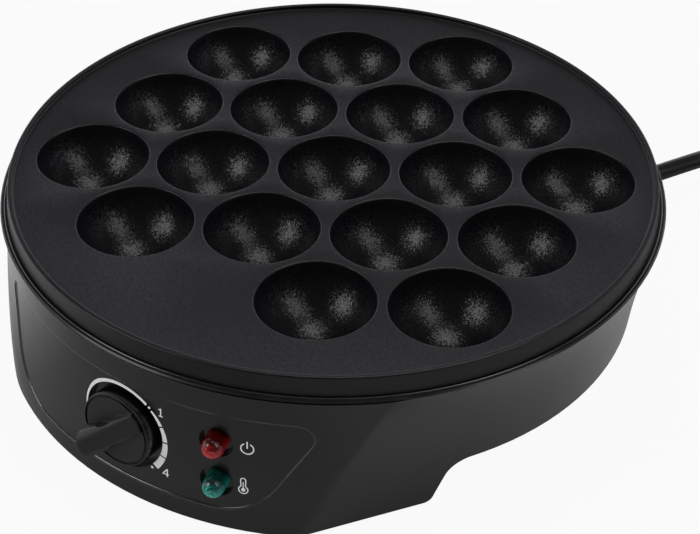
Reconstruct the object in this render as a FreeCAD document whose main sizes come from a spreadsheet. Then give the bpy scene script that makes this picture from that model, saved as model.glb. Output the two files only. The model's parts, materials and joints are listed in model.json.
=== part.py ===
"""Takoyaki maker: a round countertop cooker with a cast plate of hemispherical cups.

Origin: on the round body's vertical axis, on the resting plane (underside of the rubber feet).
+Z is up and -Y is the front, where the control panel and the knob are. Sizes are in millimetres.
"""
import FreeCAD
import Part
import math
import os
import re
import Sketcher

from FreeCAD import Placement, Rotation, Vector

os.makedirs("parts", exist_ok=True)
doc = FreeCAD.newDocument("takoyaki_maker")

# ----------------------------------------------------------------------------------------
# Driving dimensions: every size that can be set by itself has one row here.
# ----------------------------------------------------------------------------------------
SIZES = {
    # levels above the resting plane
    "foot_height": 2.4,
    "arch_top": 19.1,
    "mid_level": 28.0,
    "rim_level": 57.1,
    "plate_level": 64.0,
    # housing plan: a round bowl with a wide nose that carries the control panel
    "bowl_low_inset": 5.7,
    "bowl_mid_inset": 3.9,
    "rim_lap": 2.0,
    "rim_lean": 1.6,
    "nose_low_proud": 12.3,
    "nose_mid_proud": 8.35,
    "nose_rim_proud": 0.8,
    "nose_corner": 60.0,
    "crease_low": 15.0,
    "crease_mid": 8.0,
    "crease_rim": 4.0,
    "nose_half_angle": 61.0,
    "flank_low": 61.0,
    "flank_mid": 63.0,
    "flank_rim": 56.4,
    "nose_turn": 5.4,
    "wall": 2.6,
    "floor_thick": 2.4,
    # arches between the front and rear legs
    "arch_half_low": 58.5,
    "arch_half_high": 52.7,
    "arch_fillet": 8.5,
    "leg_corner": 3.0,
    # cooking plate
    "plate_margin": 8.2,
    "plate_flare": 0.8,
    "lip_width": 1.8,
    "lip_rise": 1.6,
    "plate_thick": 2.6,
    "plate_skirt": 2.8,
    "cup_pitch": 43.2,
    "cup_rad": 20.0,
    "cup_depth": 18.0,
    "cup_wall": 1.9,
    "plate_turn": 0.6,
    "boss_rad": 4.5,
    # trim ring between the plate and the housing
    "ring_lap": 3.1,
    "ring_slope": 0.5,
    "ring_width": 7.5,
    "ring_rise": 1.3,
    "ring_edge_rise": 0.8,
    "ring_gap": 0.7,
    "ring_skirt": 3.0,
    "ring_skirt_thick": 2.0,
    "fit_gap": 0.3,
    # control panel
    "panel_top": 48.3,
    "panel_low": 9.5,
    "panel_half_top": 67.9,
    "panel_half_low": 50.5,
    "panel_shift_top": 0.5,
    "panel_shift_low": 3.4,
    "panel_corner_top": 6.0,
    "panel_corner_low": 22.0,
    "panel_depth": 0.4,
    "panel_lean": 4.5,
    # knob and its well
    "knob_level": 29.7,
    "well_rad": 15.9,
    "well_depth": 3.5,
    "well_wall": 2.2,
    "knob_rad": 13.5,
    "knob_proud": 3.0,
    "knob_clear": 0.5,
    "knob_shell": 1.6,
    "groove_rad": 12.5,
    "groove_width": 0.8,
    "groove_depth": 0.6,
    "hub_rad": 5.4,
    "grip_reach": 12.6,
    "grip_high": 7.4,
    "grip_low": 0.8,
    "grip_half_high": 5.7,
    "grip_half_low": 4.3,
    "grip_draft": 1.2,
    "grip_hollow": 2.2,
    "hollow_rad": 11.0,
    "grip_angle": 50.0,
    "spindle_rad": 3.0,
    "spindle_flat": 1.5,
    "spindle_reach": 2.4,
    "spindle_depth": 19.5,
    "clip_thick": 0.5,
    "clip_width": 3.4,
    "running_gap": 0.05,
    # thermostat
    "bush_rad": 5.0,
    "bush_gap": 0.2,
    "bracket_thick": 1.2,
    "bracket_half": 14.0,
    "thermostat_rad": 12.0,
    "thermostat_length": 15.0,
    "thermostat_screw_ring": 9.0,
    "tab_width": 6.3,
    "tab_length": 8.0,
    "small_screw_rad": 1.5,
    "small_head_rad": 2.9,
    "small_head": 1.8,
    # indicator lamps
    "lamp_angle": 16.9,
    "red_level": 36.6,
    "green_level": 20.6,
    "lamp_well_rad": 5.8,
    "lamp_well_depth": 2.5,
    "lens_rad": 3.7,
    "lens_shoulder": 2.4,
    "lens_flange_rad": 6.4,
    "lens_flange": 1.2,
    "lens_tail": 3.2,
    "lens_wall": 1.1,
    "lamp_gap": 0.2,
    "lamp_length": 9.0,
    "nut_rad": 6.9,
    "nut_thick": 1.2,
    # base cover, feet and fixings
    "cover_rad": 44.0,
    "cover_hole_rad": 38.0,
    "cover_thick": 2.2,
    "cover_screw_ring": 41.0,
    "floor_boss_rad": 3.4,
    "floor_boss": 6.0,
    "post_rad": 5.6,
    "plate_screw_rad": 2.0,
    "plate_head_rad": 3.6,
    "plate_head": 2.4,
    "thread_length": 16.0,
    "screw_gap": 0.1,
    "head_round": 0.4,
    "foot_rad": 7.0,
    "foot_stem_rad": 2.4,
    "foot_inset": 16.9,
    "foot_share": 0.669,
    # heat parts
    "shield_level": 33.0,
    "shield_room": 24.7,
    "shield_rise": 7.5,
    "sheet_thick": 0.8,
    "heater_tube": 3.2,
    "heater_sweep": 330.0,
    "heater_gap": 0.3,
    "heater_pin_rad": 2.2,
    "heater_pin_drop": 9.0,
    "cradle_half": 4.5,
    "cradle_width": 8.0,
    "fuse_rad": 2.2,
    "fuse_length": 13.0,
    "fuse_x": 20.0,
    "fuse_y": -30.0,
    "fuse_strap": 6.0,
    "fuse_foot": 6.5,
    "rivet_rad": 0.8,
    # mains entry
    "cord_rad": 3.4,
    "exit_level": 12.0,
    "exit_angle": 63.8,
    "gland_neck_rad": 5.2,
    "gland_flange_rad": 7.0,
    "gland_flange": 1.8,
    "gland_seat": 0.9,
    "gland_reach": 33.1,
    "tail_length": 22.0,
    "clamp_back": 13.0,
    "clamp_length": 8.0,
    "clamp_half": 10.5,
    "clamp_screw_at": 7.2,
    "block_length": 24.0,
    "block_width": 12.0,
    "block_height": 10.5,
    "block_x": 18.0,
    "block_y": 44.0,
    # coil and plug
    "coil_x": 129.1,
    "coil_y": 191.9,
    "coil_rad": 37.5,
    "coil_leave": 20.0,
    "plug_lead": 20.0,
    "plug_relief": 22.0,
    "plug_length": 30.0,
    "plug_half_width": 17.5,
    "plug_half_height": 7.6,
    "plug_taper": 4.0,
    "plug_round": 6.0,
    "pin_rad": 2.4,
    "pin_length": 19.0,
    "pin_spacing": 18.6,
}

# Sizes that follow from the driving ones: the plate's edge from its cups, and the body from the plate.
DERIVED = {
    "plate_rad": "(2 * cup_pitch + cup_rad + plate_margin)",
    "bowl_low_rad": "(plate_rad - bowl_low_inset)",
    "bowl_mid_rad": "(plate_rad - bowl_mid_inset)",
    "bowl_rim_rad": "(plate_rad + rim_lap)",
    "nose_low_rad": "(bowl_low_rad + nose_low_proud)",
    "nose_mid_rad": "(bowl_mid_rad + nose_mid_proud)",
    "nose_rim_rad": "(bowl_rim_rad + nose_rim_proud)",
    "ring_rad": "(plate_rad + ring_lap)",
    "ring_flat_rad": "(ring_rad - ring_slope)",
    "ring_inner": "(ring_rad - ring_width)",
    "shield_rad": "(bowl_mid_rad - shield_room)",
    # the knob's axis meets the leaning front here
    "knob_reach": "(nose_mid_rad - (knob_level - mid_level) * tan(panel_lean))",
    # the plate's screw bosses stand in the middle of three neighbouring cups
    "boss_ring": "(cup_pitch / sqrt(3))",
    # the bowl's wall leans out more at its rim than on average above its middle
    "rim_run": "(rim_lean * (bowl_rim_rad - bowl_mid_rad) / (rim_level - mid_level))",
    "skirt_rad": "(bowl_rim_rad - wall - fit_gap - ring_skirt * rim_run)",
    # outer radius of the rear wall where the lead leaves
    "exit_share": "((exit_level - foot_height) / (mid_level - foot_height))",
    "wall_reach": "(bowl_low_rad + (bowl_mid_rad - bowl_low_rad) * exit_share)",
    # the feet stand between the side arches and the lead
    "foot_ring": "(bowl_low_rad - foot_inset)",
    "leg_edge": "asin(arch_half_low / bowl_low_rad)",
    "foot_angle": "(leg_edge * (1 - foot_share) + exit_angle * 1deg * foot_share)",
    "foot_ahead": "(foot_ring * sin(foot_angle))",
    "foot_across": "(foot_ring * cos(foot_angle))",
    # the heater runs between the middle seven cups and the outer ones
    "heater_ring": "(cup_pitch * sqrt(7 / 3))",
    # the heater's middle lies just below the cups
    "heater_level": "(plate_level - cup_depth - cup_wall - heater_gap - heater_tube)",
    "cup_ball": "((cup_rad ^ 2 + cup_depth ^ 2) / (2 * cup_depth))",
}

sheet = doc.addObject("Spreadsheet::Sheet", "dims")
for row, (alias, size) in enumerate(SIZES.items(), start=1):
    sheet.set(f"A{row}", alias)
    sheet.set(f"B{row}", str(size))
    sheet.setAlias(f"B{row}", alias)
doc.recompute()

# Lead from the gland to the coil: points of its centre line, in millimetres.
CORD_ROUTE = [
    (63.07, 128.07, 12.0),
    (74.6, 151.5, 12.0),
    (79.6, 170.0, 7.7),
    (85.0, 188.5, 3.4),
    (90.2, 204.5, 3.4),
]
CORD_ARC_SHARE = 0.45

# Cup lattice: columns of a hexagonal grid, each with the rows of its cups in whole and half pitches.
CUP_COLUMNS = {
    -2: (-1.0, 0.0, 1.0),
    -1: (-1.5, -0.5, 0.5, 1.5),
    0: (-1.0, 0.0, 1.0, 2.0),
    1: (-1.5, -0.5, 0.5, 1.5),
    2: (-1.0, 0.0, 1.0),
}
POST_ANGLES = (0.0, 120.0, 240.0)
COVER_SCREW_ANGLES = (45.0, 135.0, 225.0, 315.0)
CRADLE_ANGLES = (30.0, 150.0, 270.0)
NODES = {}


# ----------------------------------------------------------------------------------------
# Helpers: expressions, placements, sketches and the few operations that the pieces share.
# ----------------------------------------------------------------------------------------
def bound(text):
    """Give the expression in which each size's name points at its cell."""
    while any(word in DERIVED for word in re.findall(r"[a-z_]+", text)):
        text = re.sub(r"[a-z_]+", lambda word: DERIVED.get(word[0], word[0]), text)
    return re.sub(r"[a-z_]+", lambda word: f"dims.{word[0]}" if word[0] in SIZES else word[0], text)


def value(text):
    """Give the expression's present value in millimetres or degrees."""
    result = sheet.evalExpression(bound(text))
    return float(getattr(result, "Value", result))


def bind(obj, **properties):
    """Tie the object's properties to expressions written with the names of the sizes."""
    for name, text in properties.items():
        obj.setExpression(name, bound(text))


def place(obj, spot=("0", "0", "0"), rotation=Rotation()):
    """Place the object, with its position tied to the sheet."""
    obj.Placement = Placement(Vector(*[value(text) for text in spot]), rotation)
    for axis, text in zip("xyz", spot):
        obj.setExpression(f"Placement.Base.{axis}", bound(text))
    return obj


def keep(name, obj):
    """Count the object as the sub-part of this name."""
    obj.Label = name
    NODES[name] = obj
    return obj


def tie(sketch, constraint, text):
    """Add a constraint whose last value follows the sheet."""
    index = sketch.addConstraint(Sketcher.Constraint(*constraint, value(text)))
    sketch.setExpression(f"Constraints[{index}]", bound(text))


def corner_points(points, radii, i):
    """Give where the rounding of corner i starts and ends, its middle, and whether it turns left."""
    here = points[i]
    back = (points[i - 1] - here).normalize()
    ahead = (points[(i + 1) % len(points)] - here).normalize()
    half = back.getAngle(ahead) / 2
    run = radii[i] / math.tan(half)
    inward = (back + ahead).normalize() * (radii[i] / math.sin(half))
    return here + back * run, here + ahead * run, here + inward, back.cross(ahead).z < 0


def draw_outline(sketch, corners):
    """Draw a closed outline from corners (across, up[, rounding]), every one tied to the sheet."""
    count = len(corners)
    points = [Vector(value(corner[0]), value(corner[1]), 0) for corner in corners]
    radii = [value(corner[2]) if len(corner) > 2 else 0.0 for corner in corners]
    ends = [corner_points(points, radii, i) if radii[i] else (points[i], points[i]) for i in range(count)]
    for i in range(count):
        sketch.addGeometry(Part.LineSegment(ends[i][1], ends[(i + 1) % count][0]), False)
    for i, corner in enumerate(corners):
        before = (i - 1) % count
        if not radii[i]:
            sketch.addConstraint(Sketcher.Constraint("Coincident", before, 2, i, 1))
            tie(sketch, ("DistanceX", -1, 1, i, 1), corner[0])
            tie(sketch, ("DistanceY", -1, 1, i, 1), corner[1])
            continue
        start, end, centre, left = ends[i]
        first, last = (start, end) if left else (end, start)
        angles = [math.atan2(point.y - centre.y, point.x - centre.x) for point in (first, last)]
        circle = Part.Circle(centre, Vector(0, 0, 1), radii[i])
        arc = sketch.addGeometry(Part.ArcOfCircle(circle, *angles), False)
        mark = sketch.addGeometry(Part.Point(points[i]), True)
        sketch.addConstraint(Sketcher.Constraint("Tangent", before, 2, arc, 1 if left else 2))
        sketch.addConstraint(Sketcher.Constraint("Tangent", i, 1, arc, 2 if left else 1))
        sketch.addConstraint(Sketcher.Constraint("PointOnObject", mark, 1, before))
        sketch.addConstraint(Sketcher.Constraint("PointOnObject", mark, 1, i))
        tie(sketch, ("DistanceX", -1, 1, mark, 1), corner[0])
        tie(sketch, ("DistanceY", -1, 1, mark, 1), corner[1])
        tie(sketch, ("Radius", arc), corner[2])
    return sketch


def body_sketch(body, plane, name):
    """Start a sketch on one of the body's own origin planes."""
    sketch = body.newObject("Sketcher::SketchObject", name)
    support = [plane_object for plane_object in body.Origin.OriginFeatures if plane_object.Role == plane][0]
    sketch.AttachmentSupport = [(support, "")]
    sketch.MapMode = "FlatFace"
    return sketch


def revolved(name, corners):
    """Turn an outline (radius, height) about the body's own Z axis."""
    body = doc.addObject("PartDesign::Body", name)
    profile = draw_outline(body_sketch(body, "XZ_Plane", f"{name}_profile"), corners)
    turn = body.newObject("PartDesign::Revolution", f"{name}_turn")
    turn.Profile = profile
    turn.ReferenceAxis = (profile, ["V_Axis"])
    turn.Angle = 360
    return body


def padded(name, plane, corners, length, midplane=True):
    """Pad an outline on an origin plane of its own body."""
    body = doc.addObject("PartDesign::Body", name)
    profile = draw_outline(body_sketch(body, plane, f"{name}_profile"), corners)
    pad = body.newObject("PartDesign::Pad", f"{name}_pad")
    pad.Profile = profile
    pad.Midplane = midplane
    bind(pad, Length=length)
    return body


def cylinder(name, radius, height):
    """Make a cylinder that stands on its own origin."""
    made = doc.addObject("Part::Cylinder", name)
    bind(made, Radius=radius, Height=height)
    return made


def box(name, length, width, height):
    """Make a box with its corner on its own origin."""
    made = doc.addObject("Part::Box", name)
    bind(made, Length=length, Width=width, Height=height)
    return made


def fused(name, shapes):
    """Join shapes into one solid."""
    made = doc.addObject("Part::MultiFuse", name)
    made.Shapes = shapes
    made.Refine = True
    return made


def cut(name, base, tools):
    """Cut one or more tools from a base."""
    made = doc.addObject("Part::Cut", name)
    made.Base = base
    made.Tool = tools[0] if len(tools) == 1 else fused(f"{name}_tools", tools)
    return made


def common(name, first, second):
    """Keep what two shapes share."""
    made = doc.addObject("Part::Common", name)
    made.Base = first
    made.Tool = second
    return made


def grouped(name, shapes):
    """Hold like solids in one sub-part."""
    made = doc.addObject("Part::Compound", name)
    made.Links = shapes
    return made


def polar(ring, angle, level, turn="0"):
    """Give the position at an angle on a ring, from expressions."""
    return (f"({ring}) * cos({angle} + {turn})", f"({ring}) * sin({angle} + {turn})", level)


def panel_spot(angle, level):
    """Give the position on the leaning front at an angle from the front's middle."""
    reach = f"(knob_reach - ({level} - knob_level) * tan(panel_lean))"
    return (f"{reach} * sin({angle})", f"-{reach} * cos({angle})", level)


def panel_rotation(angle):
    """Give the rotation that points local Z out of the leaning front and local Y up it."""
    return Rotation(Vector(0, 0, 1), value(angle)) * Rotation(Vector(1, 0, 0), 90 - value("panel_lean"))


def on_panel(obj, angle="0", level="knob_level", spin="0", lift="0"):
    """Place the object on the front, turned about the outward axis and lifted along it."""
    rotation = panel_rotation(angle) * Rotation(Vector(0, 0, 1), value(spin))
    out = panel_rotation(angle).multVec(Vector(0, 0, 1))
    spot = [f"{base} + ({lift}) * {part}" for base, part in zip(panel_spot(angle, level), out)]
    return place(obj, spot, rotation)


# ----------------------------------------------------------------------------------------
# Housing: lofted bowl with a nose, hollow legs, side arches, a recessed panel and its wells.
# ----------------------------------------------------------------------------------------
def nose_corner_arc(hand, flank, corner, bowl_rad, nose_rad):
    """Give centre, start on the nose arc, end on the flank and end of the flank, on one hand."""
    across = Vector(hand * math.sin(flank), -math.cos(flank), 0)
    along = Vector(-hand * math.cos(flank), -math.sin(flank), 0)
    slide = math.sqrt((nose_rad - corner) ** 2 - (bowl_rad - corner) ** 2)
    centre = across * (bowl_rad - corner) + along * slide
    return centre, centre * (nose_rad / (nose_rad - corner)), centre + across * corner, across * bowl_rad


def bearing(point):
    """Give the direction of a point seen from the middle, in radians."""
    return math.atan2(point.y, point.x)


def housing_section(name, level, stage, inset):
    """Draw one level of the housing: nose arc, soft and creased corner, two flanks, bowl arc."""
    bowl, nose, crease = f"bowl_{stage}_rad", f"nose_{stage}_rad", f"crease_{stage}"
    sketch = doc.addObject("Sketcher::SketchObject", name)
    bowl_rad = value(f"{bowl} - {inset}")
    nose_rad = value(f"{nose} - {inset}")
    flank, steep = math.radians(value("nose_half_angle")), math.radians(value(f"flank_{stage}"))
    sharp, soft = value(f"{crease} - {inset}"), value(f"nose_corner - {inset}")
    right, right_start, right_knee, right_end = nose_corner_arc(1, steep, sharp, bowl_rad, nose_rad)
    left, left_start, left_knee, left_end = nose_corner_arc(-1, flank, soft, bowl_rad, nose_rad)
    middle, up = Vector(0, 0, 0), Vector(0, 0, 1)
    sketch.addGeometry([
        Part.ArcOfCircle(Part.Circle(middle, up, bowl_rad), bearing(right_end), bearing(left_end)),
        Part.LineSegment(left_end, left_knee),
        Part.ArcOfCircle(Part.Circle(left, up, soft), bearing(left_end), bearing(left_start)),
        Part.ArcOfCircle(Part.Circle(middle, up, nose_rad), bearing(left_start), bearing(right_start)),
        Part.ArcOfCircle(Part.Circle(right, up, sharp), bearing(right_start), bearing(right_end)),
        Part.LineSegment(right_knee, right_end),
    ], False)
    for edge in range(6):
        sketch.addConstraint(Sketcher.Constraint("Tangent", edge, 2, (edge + 1) % 6, 1))
    for arc in (0, 3):
        sketch.addConstraint(Sketcher.Constraint("Coincident", arc, 3, -1, 1))
    tie(sketch, ("Radius", 0), f"{bowl} - {inset}")
    tie(sketch, ("Radius", 3), f"{nose} - {inset}")
    tie(sketch, ("Radius", 2), f"nose_corner - {inset}")
    tie(sketch, ("Radius", 4), f"{crease} - {inset}")
    tie(sketch, ("DistanceX", -1, 1, 0, 1), f"({bowl} - {inset}) * sin(flank_{stage})")
    tie(sketch, ("DistanceX", -1, 1, 0, 2), f"-({bowl} - {inset}) * sin(nose_half_angle)")
    return place(sketch, ("0", "0", level), Rotation(Vector(0, 0, 1), -value("nose_turn")))


def housing_loft(name, inset):
    """Loft the bowl through its three levels, this far inside the outer face."""
    made = doc.addObject("Part::Loft", name)
    made.Sections = [
        housing_section(f"{name}_low", "foot_height", "low", inset),
        housing_section(f"{name}_mid", "mid_level", "mid", inset),
        housing_section(f"{name}_rim", "rim_level", "rim", inset),
    ]
    made.Solid = True
    made.Ruled = False
    return made


def arch_prism(name, grow, rise):
    """Make the bar that opens both side arches, or its inner face when grown by a wall."""
    low, high = f"(arch_half_low + {grow})", f"(arch_half_high + {grow})"
    corners = [
        (f"-{low} - 2 * leg_corner", "-foot_height"),
        (f"{low} + 2 * leg_corner", "-foot_height"),
        (f"{low} + 2 * leg_corner", "foot_height"),
        (low, "foot_height", "leg_corner"),
        (high, f"arch_top + {rise}", "arch_fillet"),
        (f"-{high}", f"arch_top + {rise}", "arch_fillet"),
        (f"-{low}", "foot_height", "leg_corner"),
        (f"-{low} - 2 * leg_corner", "foot_height"),
    ]
    prism = padded(name, "YZ_Plane", corners, "3 * nose_low_rad")
    return place(prism, rotation=Rotation(Vector(0, 0, 1), -value("nose_turn")))


def panel_prism():
    """Make the bar with the panel's outline, from the middle of the body out through the front."""
    corners = [
        ("-panel_half_low - panel_shift_low", "panel_low", "panel_corner_low"),
        ("panel_half_low - panel_shift_low", "panel_low", "panel_corner_low"),
        ("panel_half_top - panel_shift_top", "panel_top", "panel_corner_top"),
        ("-panel_half_top - panel_shift_top", "panel_top", "panel_corner_top"),
    ]
    return padded("panel_bar", "XZ_Plane", corners, "1.5 * nose_low_rad", midplane=False)


def panel_cylinder(name, radius, depth, out, angle="0", level="knob_level"):
    """Make a round tool on the front, from a depth below its face to a height above it."""
    return on_panel(cylinder(name, radius, f"{depth} + {out}"), angle, level, lift=f"-({depth})")


def lamp_spots():
    """Give the name and level of each indicator."""
    return (("red", "red_level"), ("green", "green_level"))


def front_bosses():
    """Make the raised backs of the knob's well and the lamps' wells."""
    bosses = [panel_cylinder("knob_boss", "well_rad + well_wall", "well_depth + well_wall", "0")]
    for lamp, level in lamp_spots():
        bosses.append(panel_cylinder(f"{lamp}_boss", "lamp_well_rad + well_wall",
                                     "lamp_well_depth + well_wall", "0", "lamp_angle", level))
    return fused("front_bosses", bosses)


def front_tools():
    """Make the tools that sink the wells and drill their floors."""
    tools = [
        panel_cylinder("knob_well", "well_rad", "well_depth", "well_depth"),
        panel_cylinder("bush_hole", "bush_rad + bush_gap", "4 * well_depth", "0"),
    ]
    for side in (-1, 1):
        hole = cylinder(f"bracket_hole_{side}", "small_screw_rad + screw_gap", "4 * well_depth")
        tools.append(beside_knob(hole, side, "-4 * well_depth"))
    for lamp, level in lamp_spots():
        tools.append(panel_cylinder(f"{lamp}_well", "lamp_well_rad", "lamp_well_depth",
                                    "lamp_well_depth", "lamp_angle", level))
        tools.append(panel_cylinder(f"{lamp}_hole", "lens_rad + screw_gap", "4 * lamp_well_depth",
                                    "0", "lamp_angle", level))
    return tools


def beside_knob(obj, side, lift):
    """Place the object on the thermostat's screw line, to one side of the knob's axis."""
    out = panel_rotation("0").multVec(Vector(0, 0, 1))
    spot = panel_spot("0", "knob_level")
    moved = (
        f"{spot[0]} + {side} * thermostat_screw_ring",
        f"{spot[1]} + ({lift}) * {out.y}",
        f"{spot[2]} + ({lift}) * {out.z}",
    )
    return place(obj, moved, panel_rotation("0"))


def floor_tools():
    """Make the tools that open the floor for the base cover, the screws and the feet."""
    tools = [place(cylinder("cover_hole", "cover_hole_rad", "3 * floor_thick"),
                   ("0", "0", "arch_top - floor_thick"))]
    for angle in COVER_SCREW_ANGLES:
        drill = cylinder(f"floor_drill_{angle:.0f}", "small_screw_rad + screw_gap", "floor_thick + floor_boss")
        tools.append(place(drill, polar("cover_screw_ring", f"{angle}", "arch_top")))
    for name, spot in foot_spots().items():
        drill = cylinder(f"{name}_hole", "foot_stem_rad + screw_gap", "3 * floor_thick")
        tools.append(place(drill, spot + ("foot_height - floor_thick",)))
    exit_hole = cylinder("exit_hole", "gland_neck_rad + screw_gap", "8 * wall")
    tools.append(at_exit(exit_hole, "-4 * wall"))
    return tools


def foot_spots():
    """Give where each foot stands, clear of the arches."""
    return {
        "foot_front_left": ("-foot_across", "-foot_ahead"),
        "foot_front_right": ("foot_across", "-foot_ahead"),
        "foot_rear_left": ("-foot_across", "foot_ahead"),
        "foot_rear_right": ("foot_across", "foot_ahead"),
    }


def exit_rotation():
    """Give the rotation that points local Z along the lead where it leaves."""
    return Rotation(Vector(0, 0, 1), value("exit_angle")) * Rotation(Vector(0, 1, 0), 90)


def make_housing():
    """Build the moulded housing."""
    outer = housing_loft("outer", "0")
    panel_floor = housing_loft("panel_floor", "panel_depth")
    inner = housing_loft("inner", "wall")
    leg_floor = box("leg_floor", "4 * nose_low_rad", "4 * nose_low_rad", "foot_height + floor_thick")
    place(leg_floor, ("-2 * nose_low_rad", "-2 * nose_low_rad", "0"))
    core = fused("floor_core", [leg_floor, arch_prism("arch_core", "wall", "floor_thick")])
    shell = cut("shell", outer, [cut("hollow", inner, [core])])
    bosses = common("trimmed_bosses", front_bosses(), panel_floor)
    posts = []
    for angle in COVER_SCREW_ANGLES:
        post = cylinder(f"floor_post_{angle:.0f}", "floor_boss_rad", "floor_thick + floor_boss")
        posts.append(place(post, polar("cover_screw_ring", f"{angle}", "arch_top")))
    recess = cut("panel_recess", panel_prism(), [panel_floor])
    blank = fused("housing_blank", [shell, bosses] + posts)
    tools = [arch_prism("arches", "0", "0"), recess] + front_tools() + floor_tools()
    keep("housing", cut("housing", blank, tools))


# ----------------------------------------------------------------------------------------
# Trim ring and cooking plate
# ----------------------------------------------------------------------------------------
def make_trim_ring():
    """Build the ring that closes the gap between the plate and the housing."""
    corners = [
        ("skirt_rad - ring_skirt_thick", "rim_level - ring_skirt"),
        ("skirt_rad", "rim_level - ring_skirt"),
        ("skirt_rad", "rim_level"),
        ("bowl_rim_rad", "rim_level"),
        ("bowl_rim_rad", "rim_level + ring_gap"),
        ("ring_rad - ring_gap", "rim_level + ring_gap"),
        ("ring_rad", "rim_level + ring_edge_rise"),
        ("ring_flat_rad", "rim_level + ring_rise"),
        ("ring_inner", "rim_level + ring_rise"),
        ("ring_inner", "rim_level"),
        ("skirt_rad - ring_skirt_thick", "rim_level"),
    ]
    keep("trim_ring", revolved("trim_ring", corners))


def cup_spots():
    """Give each cup's number and its position in the turned plate, as expressions."""
    spots = []
    for column, rows in CUP_COLUMNS.items():
        for row in rows:
            across = f"({column} * cup_pitch * sqrt(3) / 2)"
            ahead = f"({row} * cup_pitch)"
            spots.append((f"{across} * cos(plate_turn) - {ahead} * sin(plate_turn)",
                          f"{across} * sin(plate_turn) + {ahead} * cos(plate_turn)"))
    return spots


def make_cooking_plate():
    """Build the cast plate: disc with lip and skirt, cups, and the bosses of its long screws."""
    seat = "rim_level + ring_rise"
    corners = [
        ("0", "plate_level - plate_thick"),
        ("plate_rad - plate_skirt", "plate_level - plate_thick"),
        ("plate_rad + plate_flare - plate_skirt", seat),
        ("plate_rad + plate_flare", seat),
        ("plate_rad", "plate_level + lip_rise"),
        ("plate_rad - lip_width", "plate_level + lip_rise"),
        ("plate_rad - lip_width", "plate_level"),
        ("0", "plate_level"),
    ]
    centre = "plate_level - cup_depth + cup_ball"
    shells, hollows = [], []
    for number, (across, ahead) in enumerate(cup_spots(), start=1):
        shell = doc.addObject("Part::Sphere", f"cup_shell_{number}")
        bind(shell, Radius="cup_ball + cup_wall",
             Angle2="-asin((cup_ball - cup_depth + plate_thick / 2) / (cup_ball + cup_wall))")
        shells.append(place(shell, (across, ahead, centre)))
        hollow = doc.addObject("Part::Sphere", f"cup_hollow_{number}")
        bind(hollow, Radius="cup_ball")
        hollows.append(place(hollow, (across, ahead, centre)))
    bosses, bores = [], []
    for angle in POST_ANGLES:
        boss = cylinder(f"plate_boss_{angle:.0f}", "boss_rad",
                        "plate_level - plate_thick / 2 - shield_level - sheet_thick")
        spot = polar("boss_ring", f"{angle}", "shield_level + sheet_thick", "plate_turn")
        bosses.append(place(boss, spot))
        bore = cylinder(f"plate_bore_{angle:.0f}", "plate_screw_rad + screw_gap",
                        "thread_length + screw_gap")
        bores.append(place(bore, spot))
    blank = fused("plate_blank", [revolved("plate_disc", corners)] + shells + bosses)
    keep("cooking_plate", cut("cooking_plate", blank, hollows + bores))


# ----------------------------------------------------------------------------------------
# Base cover, shield, feet and their fixings
# ----------------------------------------------------------------------------------------
def make_base_cover():
    """Build the bottom cover with the hollow posts that the plate's long screws pass."""
    corners = [
        ("0", "arch_top - cover_thick"),
        ("cover_rad", "arch_top - cover_thick"),
        ("cover_rad", "arch_top"),
        ("0", "arch_top"),
    ]
    posts, drills = [], []
    for angle in POST_ANGLES:
        post = cylinder(f"cover_post_{angle:.0f}", "post_rad", "shield_level - arch_top + cover_thick / 2")
        posts.append(place(post, polar("boss_ring", f"{angle}", "arch_top - cover_thick / 2", "plate_turn")))
        bore = cylinder(f"cover_bore_{angle:.0f}", "plate_screw_rad + screw_gap",
                        "shield_level - arch_top + 2 * cover_thick")
        drills.append(place(bore, polar("boss_ring", f"{angle}", "arch_top - 2 * cover_thick + screw_gap",
                                        "plate_turn")))
        sink = cylinder(f"cover_sink_{angle:.0f}", "plate_head_rad + fit_gap", "cover_thick + plate_head")
        drills.append(place(sink, polar("boss_ring", f"{angle}", "arch_top - cover_thick", "plate_turn")))
    for angle in COVER_SCREW_ANGLES:
        hole = cylinder(f"cover_hole_{angle:.0f}", "small_screw_rad + screw_gap", "2 * cover_thick")
        drills.append(place(hole, polar("cover_screw_ring", f"{angle}", "arch_top - 1.5 * cover_thick")))
    blank = fused("cover_blank", [revolved("cover_disc", corners)] + posts)
    keep("base_cover", cut("base_cover", blank, drills))


def screw(name, shank_rad, shank_length, head_rad, head):
    """Make a pan-head screw: the head's bearing face on the origin, the shank up along Z."""
    corners = [
        ("0", f"-{head}"),
        (head_rad, f"-{head}", f"head_round * {head}"),
        (head_rad, "0"),
        (shank_rad, "0"),
        (shank_rad, shank_length),
        ("0", shank_length),
    ]
    return revolved(name, corners)


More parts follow.
